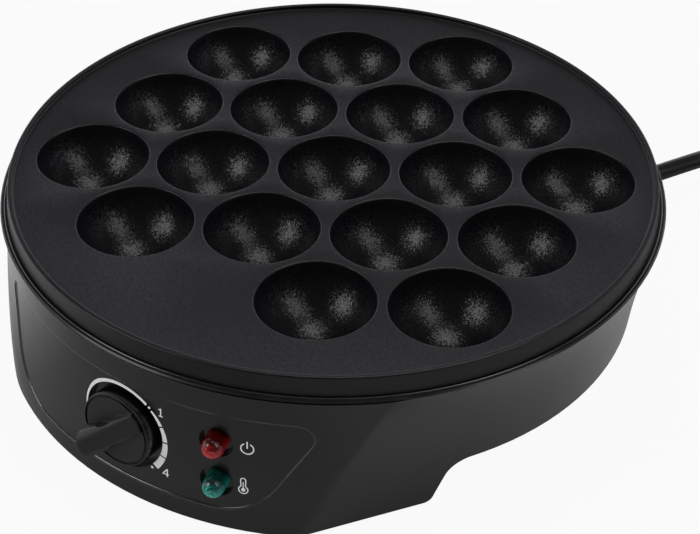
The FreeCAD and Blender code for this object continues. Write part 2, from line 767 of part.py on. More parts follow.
def make_base_fixings():
    """Build the screws below the base cover and the four rubber feet."""
    base_screws = []
    for angle in COVER_SCREW_ANGLES:
        made = screw(f"base_screw_{angle:.0f}", "small_screw_rad", "cover_thick + floor_thick + floor_boss / 2",
                     "small_head_rad", "small_head")
        base_screws.append(place(made, polar("cover_screw_ring", f"{angle}", "arch_top - cover_thick")))
    keep("base_screws", grouped("base_screws", base_screws))
    plate_screws = []
    for angle in POST_ANGLES:
        length = "(shield_level + sheet_thick + thread_length - arch_top - plate_head)"
        made = screw(f"plate_screw_{angle:.0f}", "plate_screw_rad", length, "plate_head_rad", "plate_head")
        plate_screws.append(place(made, polar("boss_ring", f"{angle}", "arch_top + plate_head", "plate_turn")))
    keep("plate_screws", grouped("plate_screws", plate_screws))
    for name, spot in foot_spots().items():
        corners = [
            ("0", "0"),
            ("foot_rad", "0", "foot_height / 3"),
            ("foot_rad", "foot_height"),
            ("foot_stem_rad", "foot_height"),
            ("foot_stem_rad", "foot_height + floor_thick"),
            ("foot_stem_rad + fit_gap", "foot_height + floor_thick"),
            ("foot_stem_rad / 2", "foot_height + 2 * floor_thick"),
            ("0", "foot_height + 2 * floor_thick"),
        ]
        keep(name, place(revolved(name, corners), spot + ("0",)))


def rivet_spots():
    """Give where the shield's rivets stand: one below each cradle and one in each foot of the strap."""
    spots = [polar("heater_ring", f"{angle}", "0")[:2] for angle in CRADLE_ANGLES]
    for side in (-1, 1):
        spots.append(("fuse_x", f"fuse_y + {side} * (fuse_rad + sheet_thick + fuse_foot) / 2"
                      f" + {side} * fuse_rad / 2"))
    return spots


def make_heat_shield():
    """Build the sheet pan that keeps the heat above the base."""
    corners = [
        ("0", "shield_level"),
        ("shield_rad", "shield_level", "3 * sheet_thick"),
        ("shield_rad", "shield_level + shield_rise"),
        ("shield_rad - sheet_thick", "shield_level + shield_rise"),
        ("shield_rad - sheet_thick", "shield_level + sheet_thick", "2 * sheet_thick"),
        ("0", "shield_level + sheet_thick"),
    ]
    drills = []
    for angle in POST_ANGLES:
        drill = cylinder(f"shield_bore_{angle:.0f}", "plate_screw_rad + screw_gap", "3 * sheet_thick")
        drills.append(place(drill, polar("boss_ring", f"{angle}", "shield_level - sheet_thick", "plate_turn")))
    for side in (-1, 1):
        drill = cylinder(f"shield_slot_{side}", "heater_pin_rad + 4 * fit_gap", "3 * sheet_thick")
        drills.append(place(drill, polar("heater_ring", heater_end(side), "shield_level - sheet_thick")))
    for number, spot in enumerate(rivet_spots(), start=1):
        drill = cylinder(f"rivet_hole_{number}", "rivet_rad + running_gap", "3 * sheet_thick")
        drills.append(place(drill, spot + ("shield_level - sheet_thick",)))
    keep("heat_shield", cut("heat_shield", revolved("shield_pan", corners), drills))


# ----------------------------------------------------------------------------------------
# Heater
# ----------------------------------------------------------------------------------------
def heater_end(side):
    """Give the angle of one end of the heater, beside the gap at the front."""
    return f"(270 + {side} * (360 - heater_sweep) / 2)"


def make_heater():
    """Build the sheathed heater: most of a ring with two ends that dip through the shield."""
    ring = doc.addObject("Part::Torus", "heater_arc")
    bind(ring, Radius1="heater_ring", Radius2="heater_tube", Angle3="heater_sweep")
    place(ring, ("0", "0", "heater_level"), Rotation(Vector(0, 0, 1), value(heater_end(1))))
    pieces = [ring]
    for side in (-1, 1):
        knuckle = doc.addObject("Part::Sphere", f"heater_knuckle_{side}")
        bind(knuckle, Radius="heater_tube")
        pieces.append(place(knuckle, polar("heater_ring", heater_end(side), "heater_level")))
        pin = cylinder(f"heater_pin_{side}", "heater_pin_rad", "heater_level - shield_level + heater_pin_drop")
        pieces.append(place(pin, polar("heater_ring", heater_end(side), "shield_level - heater_pin_drop")))
    keep("heating_element", fused("heating_element", pieces))


def make_cradles():
    """Build the three saddles that the heater lies in."""
    cradles = []
    for angle in CRADLE_ANGLES:
        block = box(f"cradle_block_{angle:.0f}", "2 * cradle_half", "cradle_width",
                    "heater_level - shield_level - sheet_thick")
        turned = Rotation(Vector(0, 0, 1), angle)
        corner = (
            f"(heater_ring - cradle_half) * cos({angle}) + cradle_width / 2 * sin({angle})",
            f"(heater_ring - cradle_half) * sin({angle}) - cradle_width / 2 * cos({angle})",
            "shield_level + sheet_thick",
        )
        place(block, corner, turned)
        groove = doc.addObject("Part::Torus", f"cradle_groove_{angle:.0f}")
        bind(groove, Radius1="heater_ring", Radius2="heater_tube + screw_gap")
        place(groove, ("0", "0", "heater_level"))
        cradles.append(cut(f"cradle_{angle:.0f}", block, [groove]))
    keep("heater_cradles", grouped("heater_cradles", cradles))


# ----------------------------------------------------------------------------------------
# Knob, spindle and thermostat
# ----------------------------------------------------------------------------------------
def grip_section(name, half, high, along):
    """Draw one end of the grip: an upright outline with a rounded crest."""
    sketch = draw_outline(doc.addObject("Sketcher::SketchObject", name), [
        (f"-{half}", "knob_proud - knob_shell"),
        (half, "knob_proud - knob_shell"),
        (f"{half} - grip_draft", f"knob_proud + {high}", f"{high} / 2"),
        (f"-{half} + grip_draft", f"knob_proud + {high}", f"{high} / 2"),
    ])
    return place(sketch, ("0", along, "0"), Rotation(Vector(1, 0, 0), 90))


def make_knob():
    """Build the knob: a hollow round skirt with a ring groove, a hub and a sloping grip."""
    low = "-(well_depth - knob_clear)"
    corners = [
        ("0", low),
        ("hub_rad", low),
        ("hub_rad", "knob_proud - 2 * knob_shell"),
        ("knob_rad - knob_shell", "knob_proud - 2 * knob_shell"),
        ("knob_rad - knob_shell", low),
        ("knob_rad", low),
        ("knob_rad", "knob_proud", "knob_shell / 3"),
        ("groove_rad + groove_width / 2", "knob_proud"),
        ("groove_rad + groove_width / 2", "knob_proud - groove_depth"),
        ("groove_rad - groove_width / 2", "knob_proud - groove_depth"),
        ("groove_rad - groove_width / 2", "knob_proud"),
        ("0", "knob_proud"),
    ]
    skirt = revolved("knob_skirt", corners)
    ramp = doc.addObject("Part::Loft", "grip_ramp")
    ramp.Sections = [
        grip_section("grip_high_end", "grip_half_high", "grip_high", "-knob_rad"),
        grip_section("grip_low_end", "grip_half_low", "grip_low", "knob_rad"),
    ]
    ramp.Solid = True
    ramp.Ruled = True
    reach = cylinder("grip_plan", "grip_reach", "3 * grip_high")
    grip = common("grip", ramp, reach)
    thumbs = []
    for hand in (-1, 1):
        thumb = cylinder(f"thumb_{hand}", "hollow_rad", "3 * grip_high")
        away = f"{hand} * (grip_half_high - grip_hollow + hollow_rad)"
        thumbs.append(place(thumb, (away, "0", "knob_proud")))
    bore = cylinder("knob_bore", "spindle_rad + running_gap", "well_depth + spindle_reach")
    place(bore, ("0", "0", "-well_depth"))
    flat = box("knob_flat", "spindle_rad + spindle_flat + clip_thick + 3 * running_gap", "3 * spindle_rad",
               "2 * (well_depth + spindle_reach)")
    place(flat, ("-spindle_rad - running_gap", "-1.5 * spindle_rad", "-2 * well_depth"))
    socket = common("knob_socket", bore, flat)
    waisted = cut("grip_waisted", grip, thumbs)
    knob = cut("knob", fused("knob_blank", [skirt, waisted]), [socket])
    keep("knob", on_panel(knob, spin="-grip_angle"))


def make_spindle():
    """Build the spindle with its flat, and the spring clip between the flat and the knob."""
    shaft = cylinder("spindle_round", "spindle_rad", "spindle_depth + spindle_reach")
    place(shaft, ("0", "0", "-spindle_depth"))
    relief = box("spindle_relief", "spindle_rad", "3 * spindle_rad", "well_depth + 2 * spindle_reach")
    place(relief, ("spindle_flat", "-1.5 * spindle_rad", "-(well_depth - knob_clear)"))
    spindle = cut("thermostat_spindle", shaft, [relief])
    keep("thermostat_spindle", on_panel(spindle, spin="-grip_angle"))
    clip = box("knob_clip", "clip_thick", "clip_width", "spindle_reach")
    holder = grouped("clip_spot", [place(clip, ("spindle_flat + running_gap", "-clip_width / 2",
                                                "-(well_depth - knob_clear) / 2"))])
    keep("knob_clip", on_panel(holder, spin="-grip_angle"))


def make_thermostat():
    """Build the thermostat with its bush, its bracket and its two screws."""
    back = "-(well_depth + well_wall + bracket_thick)"
    end = f"{back} - thermostat_length"
    corners = [
        ("spindle_rad + running_gap", "-well_depth"),
        ("spindle_rad + running_gap", "-spindle_depth - knob_clear"),
        ("0", "-spindle_depth - knob_clear"),
        ("0", end),
        ("thermostat_rad", end),
        ("thermostat_rad", back),
        ("bush_rad", back),
        ("bush_rad", "-well_depth"),
    ]
    pieces = [revolved("thermostat_case", corners)]
    for hand in (-1, 1):
        tab = box(f"thermostat_tab_{hand}", "tab_width", "sheet_thick", "tab_length")
        pieces.append(place(tab, ("-tab_width / 2", f"{hand} * thermostat_rad / 2",
                                  f"{end} - tab_length + sheet_thick")))
    keep("thermostat_body", on_panel(fused("thermostat_body", pieces)))
    plate = padded("bracket_plate", "XY_Plane", [
        ("-bracket_half", "-bracket_half / 2", "small_head_rad"),
        ("bracket_half", "-bracket_half / 2", "small_head_rad"),
        ("bracket_half", "bracket_half / 2", "small_head_rad"),
        ("-bracket_half", "bracket_half / 2", "small_head_rad"),
    ], "bracket_thick", midplane=False)
    drills = [cylinder("bracket_bush", "bush_rad + bush_gap", "3 * bracket_thick")]
    for side in (-1, 1):
        hole = cylinder(f"bracket_tap_{side}", "small_screw_rad + screw_gap / 2", "3 * bracket_thick")
        drills.append(place(hole, (f"{side} * thermostat_screw_ring", "0", "-bracket_thick")))
    place(drills[0], ("0", "0", "-bracket_thick"))
    keep("thermostat_bracket", on_panel(cut("thermostat_bracket", plate, drills), lift=back))
    screws = []
    for side in (-1, 1):
        made = screw(f"thermostat_screw_{side}", "small_screw_rad", "well_wall + bracket_thick",
                     "small_head_rad", "small_head")
        beside_knob(made, side, "-well_depth")
        made.Placement.Rotation = panel_rotation("0") * Rotation(Vector(1, 0, 0), 180)
        screws.append(made)
    keep("thermostat_screws", grouped("thermostat_screws", screws))


# ----------------------------------------------------------------------------------------
# Indicators
# ----------------------------------------------------------------------------------------
def make_indicators():
    """Build each lens, the lamp inside it and the push nut behind it."""
    back = "(lamp_well_depth + well_wall)"
    tail = f"({back} + lens_flange + lens_tail)"
    for lamp, level in lamp_spots():
        dome = doc.addObject("Part::Sphere", f"{lamp}_dome")
        bind(dome, Radius="lens_rad")
        place(dome, ("0", "0", "lens_shoulder"))
        barrel = revolved(f"{lamp}_barrel", [
            ("0", f"-{tail}"),
            ("lens_rad", f"-{tail}"),
            ("lens_rad", f"-{back} - lens_flange"),
            ("lens_flange_rad", f"-{back} - lens_flange"),
            ("lens_flange_rad", f"-{back}"),
            ("lens_rad", f"-{back}"),
            ("lens_rad", "lens_shoulder"),
            ("0", "lens_shoulder"),
        ])
        socket = cylinder(f"{lamp}_socket", "lens_rad - lens_wall", f"2 * {tail} - lamp_well_depth / 2")
        place(socket, ("0", "0", f"-2 * {tail}"))
        lens = cut(f"{lamp}_lens", fused(f"{lamp}_lens_blank", [barrel, dome]), [socket])
        keep(f"{lamp}_lens", on_panel(lens, "lamp_angle", level))
        bulb = revolved(f"{lamp}_lamp", [
            ("0", "-lamp_length"),
            ("lens_rad - lens_wall - lamp_gap", "-lamp_length"),
            ("lens_rad - lens_wall - lamp_gap", "0", "lamp_gap * 5"),
            ("0", "0"),
        ])
        keep(f"{lamp}_lamp", on_panel(bulb, "lamp_angle", level, lift="-lamp_well_depth / 2 - lamp_gap"))
        nut = revolved(f"{lamp}_nut", [
            ("lens_rad + screw_gap", "-nut_thick"),
            ("nut_rad", "-nut_thick"),
            ("nut_rad", "0"),
            ("lens_rad + screw_gap", "0"),
        ])
        keep(f"{lamp}_nut", on_panel(nut, "lamp_angle", level, lift=f"-{back} - lens_flange"))


# ----------------------------------------------------------------------------------------
# Thermal fuse and terminal block
# ----------------------------------------------------------------------------------------
def make_fuse():
    """Build the thermal fuse in its strap under the shield, and the rivets through the shield."""
    fuse = cylinder("thermal_fuse", "fuse_rad", "fuse_length")
    spot = ("fuse_x - fuse_length / 2", "fuse_y", "shield_level - fuse_rad - running_gap")
    keep("thermal_fuse", place(fuse, spot, Rotation(Vector(0, 1, 0), 90)))
    outer = padded("strap_outer", "YZ_Plane", [
        ("-fuse_rad - fuse_foot", "0"),
        ("-fuse_rad - fuse_foot", "-sheet_thick"),
        ("-fuse_rad - sheet_thick - running_gap", "-sheet_thick"),
        ("-fuse_rad - sheet_thick - running_gap", "-2 * fuse_rad - sheet_thick - 2 * running_gap"),
        ("fuse_rad + sheet_thick + running_gap", "-2 * fuse_rad - sheet_thick - 2 * running_gap"),
        ("fuse_rad + sheet_thick + running_gap", "-sheet_thick"),
        ("fuse_rad + fuse_foot", "-sheet_thick"),
        ("fuse_rad + fuse_foot", "0"),
        ("fuse_rad + running_gap", "0"),
        ("fuse_rad + running_gap", "-2 * fuse_rad - 2 * running_gap"),
        ("-fuse_rad - running_gap", "-2 * fuse_rad - 2 * running_gap"),
        ("-fuse_rad - running_gap", "0"),
    ], "fuse_strap")
    place(outer, ("fuse_x", "fuse_y", "shield_level"))
    holes, rivets = [], []
    for number, spot in enumerate(rivet_spots(), start=1):
        under = "shield_level" if number <= len(CRADLE_ANGLES) else "shield_level - sheet_thick"
        length = "sheet_thick" if number <= len(CRADLE_ANGLES) else "2 * sheet_thick"
        rivet = screw(f"rivet_{number}", "rivet_rad", length, "2 * rivet_rad", "rivet_rad")
        rivets.append(place(rivet, spot + (under,)))
        hole = cylinder(f"strap_hole_{number}", "rivet_rad + running_gap", "3 * sheet_thick")
        holes.append(place(hole, spot + ("shield_level - 2 * sheet_thick",)))
    keep("fuse_clip", cut("fuse_clip", outer, holes[len(CRADLE_ANGLES):]))
    keep("shield_rivets", grouped("shield_rivets", rivets))


def make_terminal_block():
    """Build the terminal block on the base cover with its row of clamp screws."""
    block = box("terminal_block", "block_length", "block_width", "block_height")
    seat = "arch_top + floor_thick"
    spot = ("block_x", "block_y", seat)
    pits, screws = [], []
    for place_number in (1, 2, 3):
        across = f"block_x + block_length * {place_number} / 4"
        pit = cylinder(f"block_pit_{place_number}", "small_head_rad", "block_height / 2")
        pits.append(place(pit, (across, "block_y + block_width / 2", f"{seat} + block_height / 2")))
        grub = cylinder(f"block_screw_{place_number}", "small_head_rad - screw_gap", "block_height / 3")
        screws.append(place(grub, (across, "block_y + block_width / 2", f"{seat} + block_height / 2")))
    keep("terminal_block", cut("terminal_block", place(block, spot), pits))
    keep("terminal_screws", grouped("terminal_screws", screws))


# ----------------------------------------------------------------------------------------
# Lead: gland, tail and clamp inside, cord, coil and plug outside
# ----------------------------------------------------------------------------------------
def at_exit(obj, lift):
    """Place the object on the lead's axis at the exit, this far out from the wall's outer face."""
    return place(obj, polar(f"wall_reach + {lift}", "exit_angle", "exit_level"), exit_rotation())


def make_gland():
    """Build the tapered strain relief, the lead's tail inside and the clamp on it."""
    inside = "-(wall + gland_flange + gland_seat)"
    corners = [
        ("0", inside),
        ("gland_flange_rad", inside),
        ("gland_flange_rad", "-(wall + gland_seat)"),
        ("gland_neck_rad", "-(wall + gland_seat)"),
        ("gland_neck_rad", "gland_seat"),
        ("gland_flange_rad", "gland_seat"),
        ("gland_flange_rad", "gland_flange + gland_seat"),
        ("cord_rad + 2 * fit_gap", "gland_reach"),
        ("0", "gland_reach"),
    ]
    keep("cord_gland", at_exit(revolved("cord_gland", corners), "0"))
    tail = cylinder("cord_tail", "cord_rad", "tail_length")
    keep("cord_tail", at_exit(tail, f"{inside} - tail_length"))
    turned = Rotation(Vector(0, 0, 1), value("exit_angle"))
    block = box("clamp_block", "clamp_length", "2 * clamp_half", "exit_level + cord_rad + floor_thick"
                " - foot_height - floor_thick")
    start = f"(wall_reach + {inside} - clamp_back)"
    corner = (
        f"{start} * cos(exit_angle) + clamp_half * sin(exit_angle)",
        f"{start} * sin(exit_angle) - clamp_half * cos(exit_angle)",
        "foot_height + floor_thick",
    )
    place(block, corner, turned)
    groove = at_exit(cylinder("clamp_groove", "cord_rad + screw_gap", "3 * tail_length"),
                     f"{inside} - 2 * tail_length")
    drills, screws = [groove], []
    top = "exit_level + cord_rad + floor_thick"
    for side in (-1, 1):
        middle = f"({start} + clamp_length / 2)"
        spot = (
            f"{middle} * cos(exit_angle) - {side} * clamp_screw_at * sin(exit_angle)",
            f"{middle} * sin(exit_angle) + {side} * clamp_screw_at * cos(exit_angle)",
        )
        drill = cylinder(f"clamp_drill_{side}", "small_screw_rad + screw_gap", "3 * exit_level")
        drills.append(place(drill, spot + ("0",)))
        made = screw(f"clamp_screw_{side}", "small_screw_rad", f"{top} - foot_height - floor_thick",
                     "small_head_rad", "small_head")
        screws.append(place(made, spot + (top,), Rotation(Vector(1, 0, 0), 180)))
    keep("cord_clamp", cut("cord_clamp", block, drills))
    keep("clamp_screws", grouped("clamp_screws", screws))


def rounded_path(points):
    """Join a route's points by straight runs and tangent arcs, and print each arc's radius."""
    route = [Vector(*point) for point in points]
    edges, start, length = [], route[0], 0.0
    for before, here, after in zip(route, route[1:], route[2:]):
        back, ahead = before - here, after - here
        shorter = min(back.Length, ahead.Length)
        turn = math.pi - back.getAngle(ahead)
        reach = CORD_ARC_SHARE * shorter
        first = here + back.normalize() * reach
        last = here + ahead.normalize() * reach
        radius = reach / math.tan(turn / 2)
        inward = (back + ahead).normalize()
        middle = here + inward * (radius / math.cos(turn / 2) - radius)
        edges.append(Part.LineSegment(start, first).toShape())
        edges.append(Part.Arc(first, middle, last).toShape())
        print(f"lead arc radius {radius:.1f} mm, turn {math.degrees(turn):.1f} degrees")
        start = last
    edges.append(Part.LineSegment(start, route[-1]).toShape())
    return Part.Wire(edges)


def make_cord():
    """Build the lead between the gland and the coil as one round tube along its route."""
    path = rounded_path(CORD_ROUTE)
    heading = Vector(*CORD_ROUTE[1]) - Vector(*CORD_ROUTE[0])
    ring = Part.Wire([Part.Circle(Vector(*CORD_ROUTE[0]), heading, value("cord_rad")).toShape()])
    tube = path.makePipeShell([ring], True, False)
    expected = math.pi * value("cord_rad") ** 2 * path.Length
    print(f"lead tube {path.Length:.1f} mm long, volume over section times length {tube.Volume / expected:.4f}")
    cord = doc.addObject("Part::Feature", "power_cord")
    cord.Shape = tube
    keep("power_cord", cord)


def make_coil():
    """Build the outer shape of the put-away coil, the lead that leaves it and the plug."""
    corners = [
        ("coil_rad - 2 * cord_rad", "0"),
        ("coil_rad + 2 * cord_rad", "0", "cord_rad"),
        ("coil_rad + 2 * cord_rad", "4 * cord_rad", "cord_rad"),
        ("coil_rad - 2 * cord_rad", "4 * cord_rad"),
    ]
    keep("cord_coil", place(revolved("cord_coil", corners), ("coil_x", "coil_y", "0")))
    rotation = Rotation(Vector(0, 0, 1), value("coil_leave") - 90) * Rotation(Vector(0, 1, 0), 90)
    along = rotation.multVec(Vector(0, 0, 1))
    base = polar("(coil_rad + cord_rad)", "coil_leave", "plug_half_height")

    def beside_coil(obj, distance):
        spot = (f"coil_x + {base[0]} + ({distance}) * {along.x}",
                f"coil_y + {base[1]} + ({distance}) * {along.y}", base[2])
        return place(obj, spot, rotation)

    lead_start = "sqrt((coil_rad + 2 * cord_rad) ^ 2 - (coil_rad + cord_rad) ^ 2)"
    plug_start = f"{lead_start} + plug_lead"
    keep("plug_lead", beside_coil(cylinder("plug_lead", "cord_rad", "plug_lead"), lead_start))
    relief = doc.addObject("Part::Cone", "plug_neck")
    bind(relief, Radius1="cord_rad + fit_gap", Radius2="plug_half_height - fit_gap", Height="plug_relief")
    bulk = doc.addObject("Part::Loft", "plug_bulk")
    bulk.Sections = [
        plug_section("plug_back", "plug_taper", "plug_relief"),
        plug_section("plug_face", "0", "plug_relief + plug_length"),
    ]
    bulk.Solid = True
    plug = fused("plug_body", [relief, bulk])
    keep("plug_body", beside_coil(plug, plug_start))
    pins = []
    for side in (-1, 1):
        pin = cylinder(f"plug_pin_{side}", "pin_rad", "pin_length")
        pins.append(place(pin, ("0", f"{side} * pin_spacing / 2", "0")))
    keep("plug_pins", beside_coil(grouped("plug_pins", pins), f"{plug_start} + plug_relief + plug_length"))


def plug_section(name, taper, level):
    """Draw one end of the plug's flat body."""
    high, wide = f"plug_half_height - {taper} / 4", f"plug_half_width - {taper}"
    sketch = draw_outline(doc.addObject("Sketcher::SketchObject", name), [
        (f"-({high})", f"-({wide})", "plug_round"),
        (high, f"-({wide})", "plug_round"),
        (high, wide, "plug_round"),
        (f"-({high})", wide, "plug_round"),
    ])
    return place(sketch, ("0", "0", level))


def check_and_write():
    """Stop on any failed object or bad sub-part, then write each sub-part to its file."""
    doc.recompute()
    failed = [obj.Name for obj in doc.Objects if "Invalid" in obj.State or "Error" in obj.State]
    if failed:
        raise RuntimeError(f"failed objects: {failed}")
    for name, obj in NODES.items():
        if obj.Shape.isNull() or not obj.Shape.isValid():
            raise RuntimeError(f"bad shape: {name}")
    for name, obj in NODES.items():
        obj.Shape.exportStep(f"parts/{name}.step")
        print(f"{name}: {len(obj.Shape.Solids)} solid(s), {obj.Shape.Volume / 1000:.2f} cm3")


make_housing()
make_trim_ring()
make_cooking_plate()
make_base_cover()
make_base_fixings()
make_heat_shield()
make_heater()
make_cradles()
make_fuse()
make_knob()
make_spindle()
make_thermostat()
make_indicators()
make_terminal_block()
make_gland()
make_cord()
make_coil()
check_and_write()
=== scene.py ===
import json
import math

import bmesh
import bpy
from bpy.props import FloatProperty, FloatVectorProperty, PointerProperty
from mathutils import Matrix, Vector
from mathutils.bvhtree import BVHTree


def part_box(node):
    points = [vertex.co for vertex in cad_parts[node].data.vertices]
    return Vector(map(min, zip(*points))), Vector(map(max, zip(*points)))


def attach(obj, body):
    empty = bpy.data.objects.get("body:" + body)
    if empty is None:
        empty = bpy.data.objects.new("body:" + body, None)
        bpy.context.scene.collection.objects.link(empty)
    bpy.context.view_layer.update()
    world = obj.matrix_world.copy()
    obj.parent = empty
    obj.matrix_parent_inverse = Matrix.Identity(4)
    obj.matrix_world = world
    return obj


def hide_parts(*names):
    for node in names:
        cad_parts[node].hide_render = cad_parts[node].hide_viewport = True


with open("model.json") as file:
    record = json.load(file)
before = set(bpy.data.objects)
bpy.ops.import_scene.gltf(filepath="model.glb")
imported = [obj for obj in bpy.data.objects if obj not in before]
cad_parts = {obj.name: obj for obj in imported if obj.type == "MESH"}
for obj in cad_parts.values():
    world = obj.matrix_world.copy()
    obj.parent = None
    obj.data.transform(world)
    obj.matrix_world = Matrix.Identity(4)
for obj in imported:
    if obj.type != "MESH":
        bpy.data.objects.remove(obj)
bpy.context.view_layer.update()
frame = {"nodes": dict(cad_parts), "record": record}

bl_info = {
    "name": "Takoyaki maker looks",
    "version": (1, 0, 0),
    "blender": (4, 5, 0),
    "location": "3D View > Sidebar > Takoyaki maker",
    "description": "Dresses the packed takoyaki maker: finishes, cooking plate, dial print, lead and stage",
    "category": "Object",
}

MM = 0.001
NODES = frame["nodes"]
SLOT_FINISHES = {}
PANEL_LEAN = math.radians(4.5)  # the control panel and the knob lean back by this


# --- Shader sums ---

class Wire:
    """One output socket of a finish, open to plain arithmetic."""

    def __init__(self, finish, socket):
        self.finish = finish
        self.socket = socket

    def sum(self, operation, *values):
        """Add one Math node on these values."""
        return self.finish.node("ShaderNodeMath", {"operation": operation}, dict(enumerate(values)))

    def __add__(self, other):
        return self.sum("ADD", self, other)

    def __radd__(self, other):
        return self.sum("ADD", other, self)

    def __sub__(self, other):
        return self.sum("SUBTRACT", self, other)

    def __rsub__(self, other):
        return self.sum("SUBTRACT", other, self)

    def __mul__(self, other):
        return self.sum("MULTIPLY", self, other)

    def __rmul__(self, other):
        return self.sum("MULTIPLY", other, self)

    def __pow__(self, other):
        return self.sum("POWER", self, other)

    def __rpow__(self, other):
        return self.sum("POWER", other, self)

    def over(self, low, high):
        """Ramp smoothly from 0 at low to 1 at high."""
        return self.finish.node("ShaderNodeMapRange", {"interpolation_type": "SMOOTHSTEP"},
                                {"Value": self, "From Min": low, "From Max": high})


class Finish:
    """A procedural material, or the surroundings, wired node by node."""

    def __init__(self, name, world=None):
        self.material = world or bpy.data.materials.new(name)
        self.material.use_nodes = True
        self.tree = self.material.node_tree
        self.tree.nodes.clear()
        self.place = self.node("ShaderNodeTexCoord", output="Generated" if world else "Object")

    def node(self, kind, settings=None, sockets=None, output=0):
        """Add a node: its settings first, then the values or wires of its sockets."""
        made = self.tree.nodes.new(kind)
        for key, setting in (settings or {}).items():
            if key == "stops":
                self.set_stops(made.color_ramp, setting)
            else:
                setattr(made, key, setting)
        for key, given in (sockets or {}).items():
            if isinstance(given, Wire):
                self.tree.links.new(given.socket, made.inputs[key])
            else:
                made.inputs[key].default_value = given
        return Wire(self, made.outputs[output]) if made.outputs else None

    @staticmethod
    def set_stops(ramp, stops):
        """Give a colour ramp its stops."""
        while len(ramp.elements) < len(stops):
            ramp.elements.new(0.5)
        for element, (at, colour) in zip(ramp.elements, stops):
            element.position = at
            element.color = (*colour, 1.0)

    def vector(self, operation, sockets, output="Vector"):
        """Add one Vector Math node."""
        return self.node("ShaderNodeVectorMath", {"operation": operation}, sockets, output)

    def parts(self, vector):
        """The X, Y and Z of a vector."""
        first = self.node("ShaderNodeSeparateXYZ", None, {"Vector": vector})
        return [Wire(self, socket) for socket in first.socket.node.outputs]

    def grain(self, size, detail=2.0, roughness=0.5, stretch=None):
        """Noise from 0 to 1 whose blobs measure about this many metres."""
        place = self.vector("MULTIPLY", {0: self.place, 1: stretch}) if stretch else self.place
        return self.node("ShaderNodeTexNoise", None,
                         {"Vector": place, "Scale": 1 / size, "Detail": detail, "Roughness": roughness})

    def cells(self, size, output="Distance"):
        """Cell pattern whose cells measure about this many metres."""
        return self.node("ShaderNodeTexVoronoi", {"feature": "F1"},
                         {"Vector": self.place, "Scale": 1 / size}, output)

    def blend(self, share, first, second):
        """Mix two colours by a share from 0 to 1."""
        first, second = (given if isinstance(given, Wire) else (*given, 1.0) for given in (first, second))
        return self.node("ShaderNodeMix", {"data_type": "RGBA"}, {0: share, 6: first, 7: second}, 2)

    def facets(self, size, tilt):
        """Normal that leans at random, by about this much, from one cell of this size to the next."""
        lean = self.vector("SUBTRACT", {0: self.cells(size, output="Color"), 1: (0.5, 0.5, 0.5)})
        lean = self.vector("SCALE", {0: lean, "Scale": 2 * tilt})
        face = self.node("ShaderNodeNewGeometry", output="Normal")
        return self.vector("NORMALIZE", {0: self.vector("ADD", {0: face, 1: lean})})

    def bump(self, height, distance, edge=0.0):
        """Normal of a height pattern of this depth, on edges rounded by this radius."""
        sockets = {"Height": height, "Distance": distance, "Strength": 1.0}
        if edge:
            sockets["Normal"] = self.node("ShaderNodeBevel", {"samples": 4}, {"Radius": edge})
        return self.node("ShaderNodeBump", None, sockets)

    def surface(self, **sockets):
        """Close the material with one Principled surface, whose sockets are named in small letters."""
        named = {key.replace("_", " ").title().replace("Ior", "IOR"): given for key, given in sockets.items()}
        self.close(self.node("ShaderNodeBsdfPrincipled", None, named))
        return self.material

    def close(self, shader, kind="ShaderNodeOutputMaterial"):
        """Link a shader to the output."""
        self.node(kind, None, {"Surface": shader})


# --- Finishes ---

def shade(colour, share):
    """This colour, darker or lighter by a share."""
    return tuple(part * share for part in colour)


def middle_of(node):
    """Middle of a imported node's box."""
    low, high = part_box(node)
    return (low + high) / 2


def panel_way(bearing=0.0):
    """Way that the leaning panel faces, at this bearing from the front in degrees."""
    turn = math.radians(bearing)
    return Vector((math.sin(turn) * math.cos(PANEL_LEAN), -math.cos(turn) * math.cos(PANEL_LEAN),
                   math.sin(PANEL_LEAN)))


def glossy_plastic(looks):
    """Polished black housing plastic: faint orange peel, a little dust and handling haze."""
    finish = Finish("glossy_plastic")
    haze = finish.grain(0.045, detail=3.0)
    peel = finish.grain(0.0016, detail=1.0)
    dust_spacing, dust_colour = 0.0035, (0.08, 0.078, 0.075)
    dust = 1 - finish.cells(dust_spacing).over(0.03, 0.09)
    draw = finish.node("ShaderNodeSeparateColor", None, {"Color": finish.cells(dust_spacing, "Color")})
    speck = dust * draw.over(0.9, 0.93)
    return finish.surface(
        base_color=finish.blend(speck * 0.5, looks.plastic_colour, dust_colour),
        roughness=0.16 + haze * 0.1 + speck * 0.3,
        normal=finish.bump(peel, 0.000006, edge=looks.edge_softness * 0.7),
        specular_ior_level=0.6,
    )


def polished_edge(looks, name, roughness, shine):
    """Buffed plastic of the panel's edge and the trim ring, with a trace of wear."""
    finish = Finish(name)
    wear = finish.grain(0.006, detail=3.0)
    return finish.surface(
        base_color=finish.blend(wear, looks.plastic_colour, (0.03, 0.03, 0.03)),
        roughness=roughness + wear * 0.08,
        specular_ior_level=shine,
        coat_weight=shine * 0.8,
        coat_roughness=roughness * 0.6,
    )


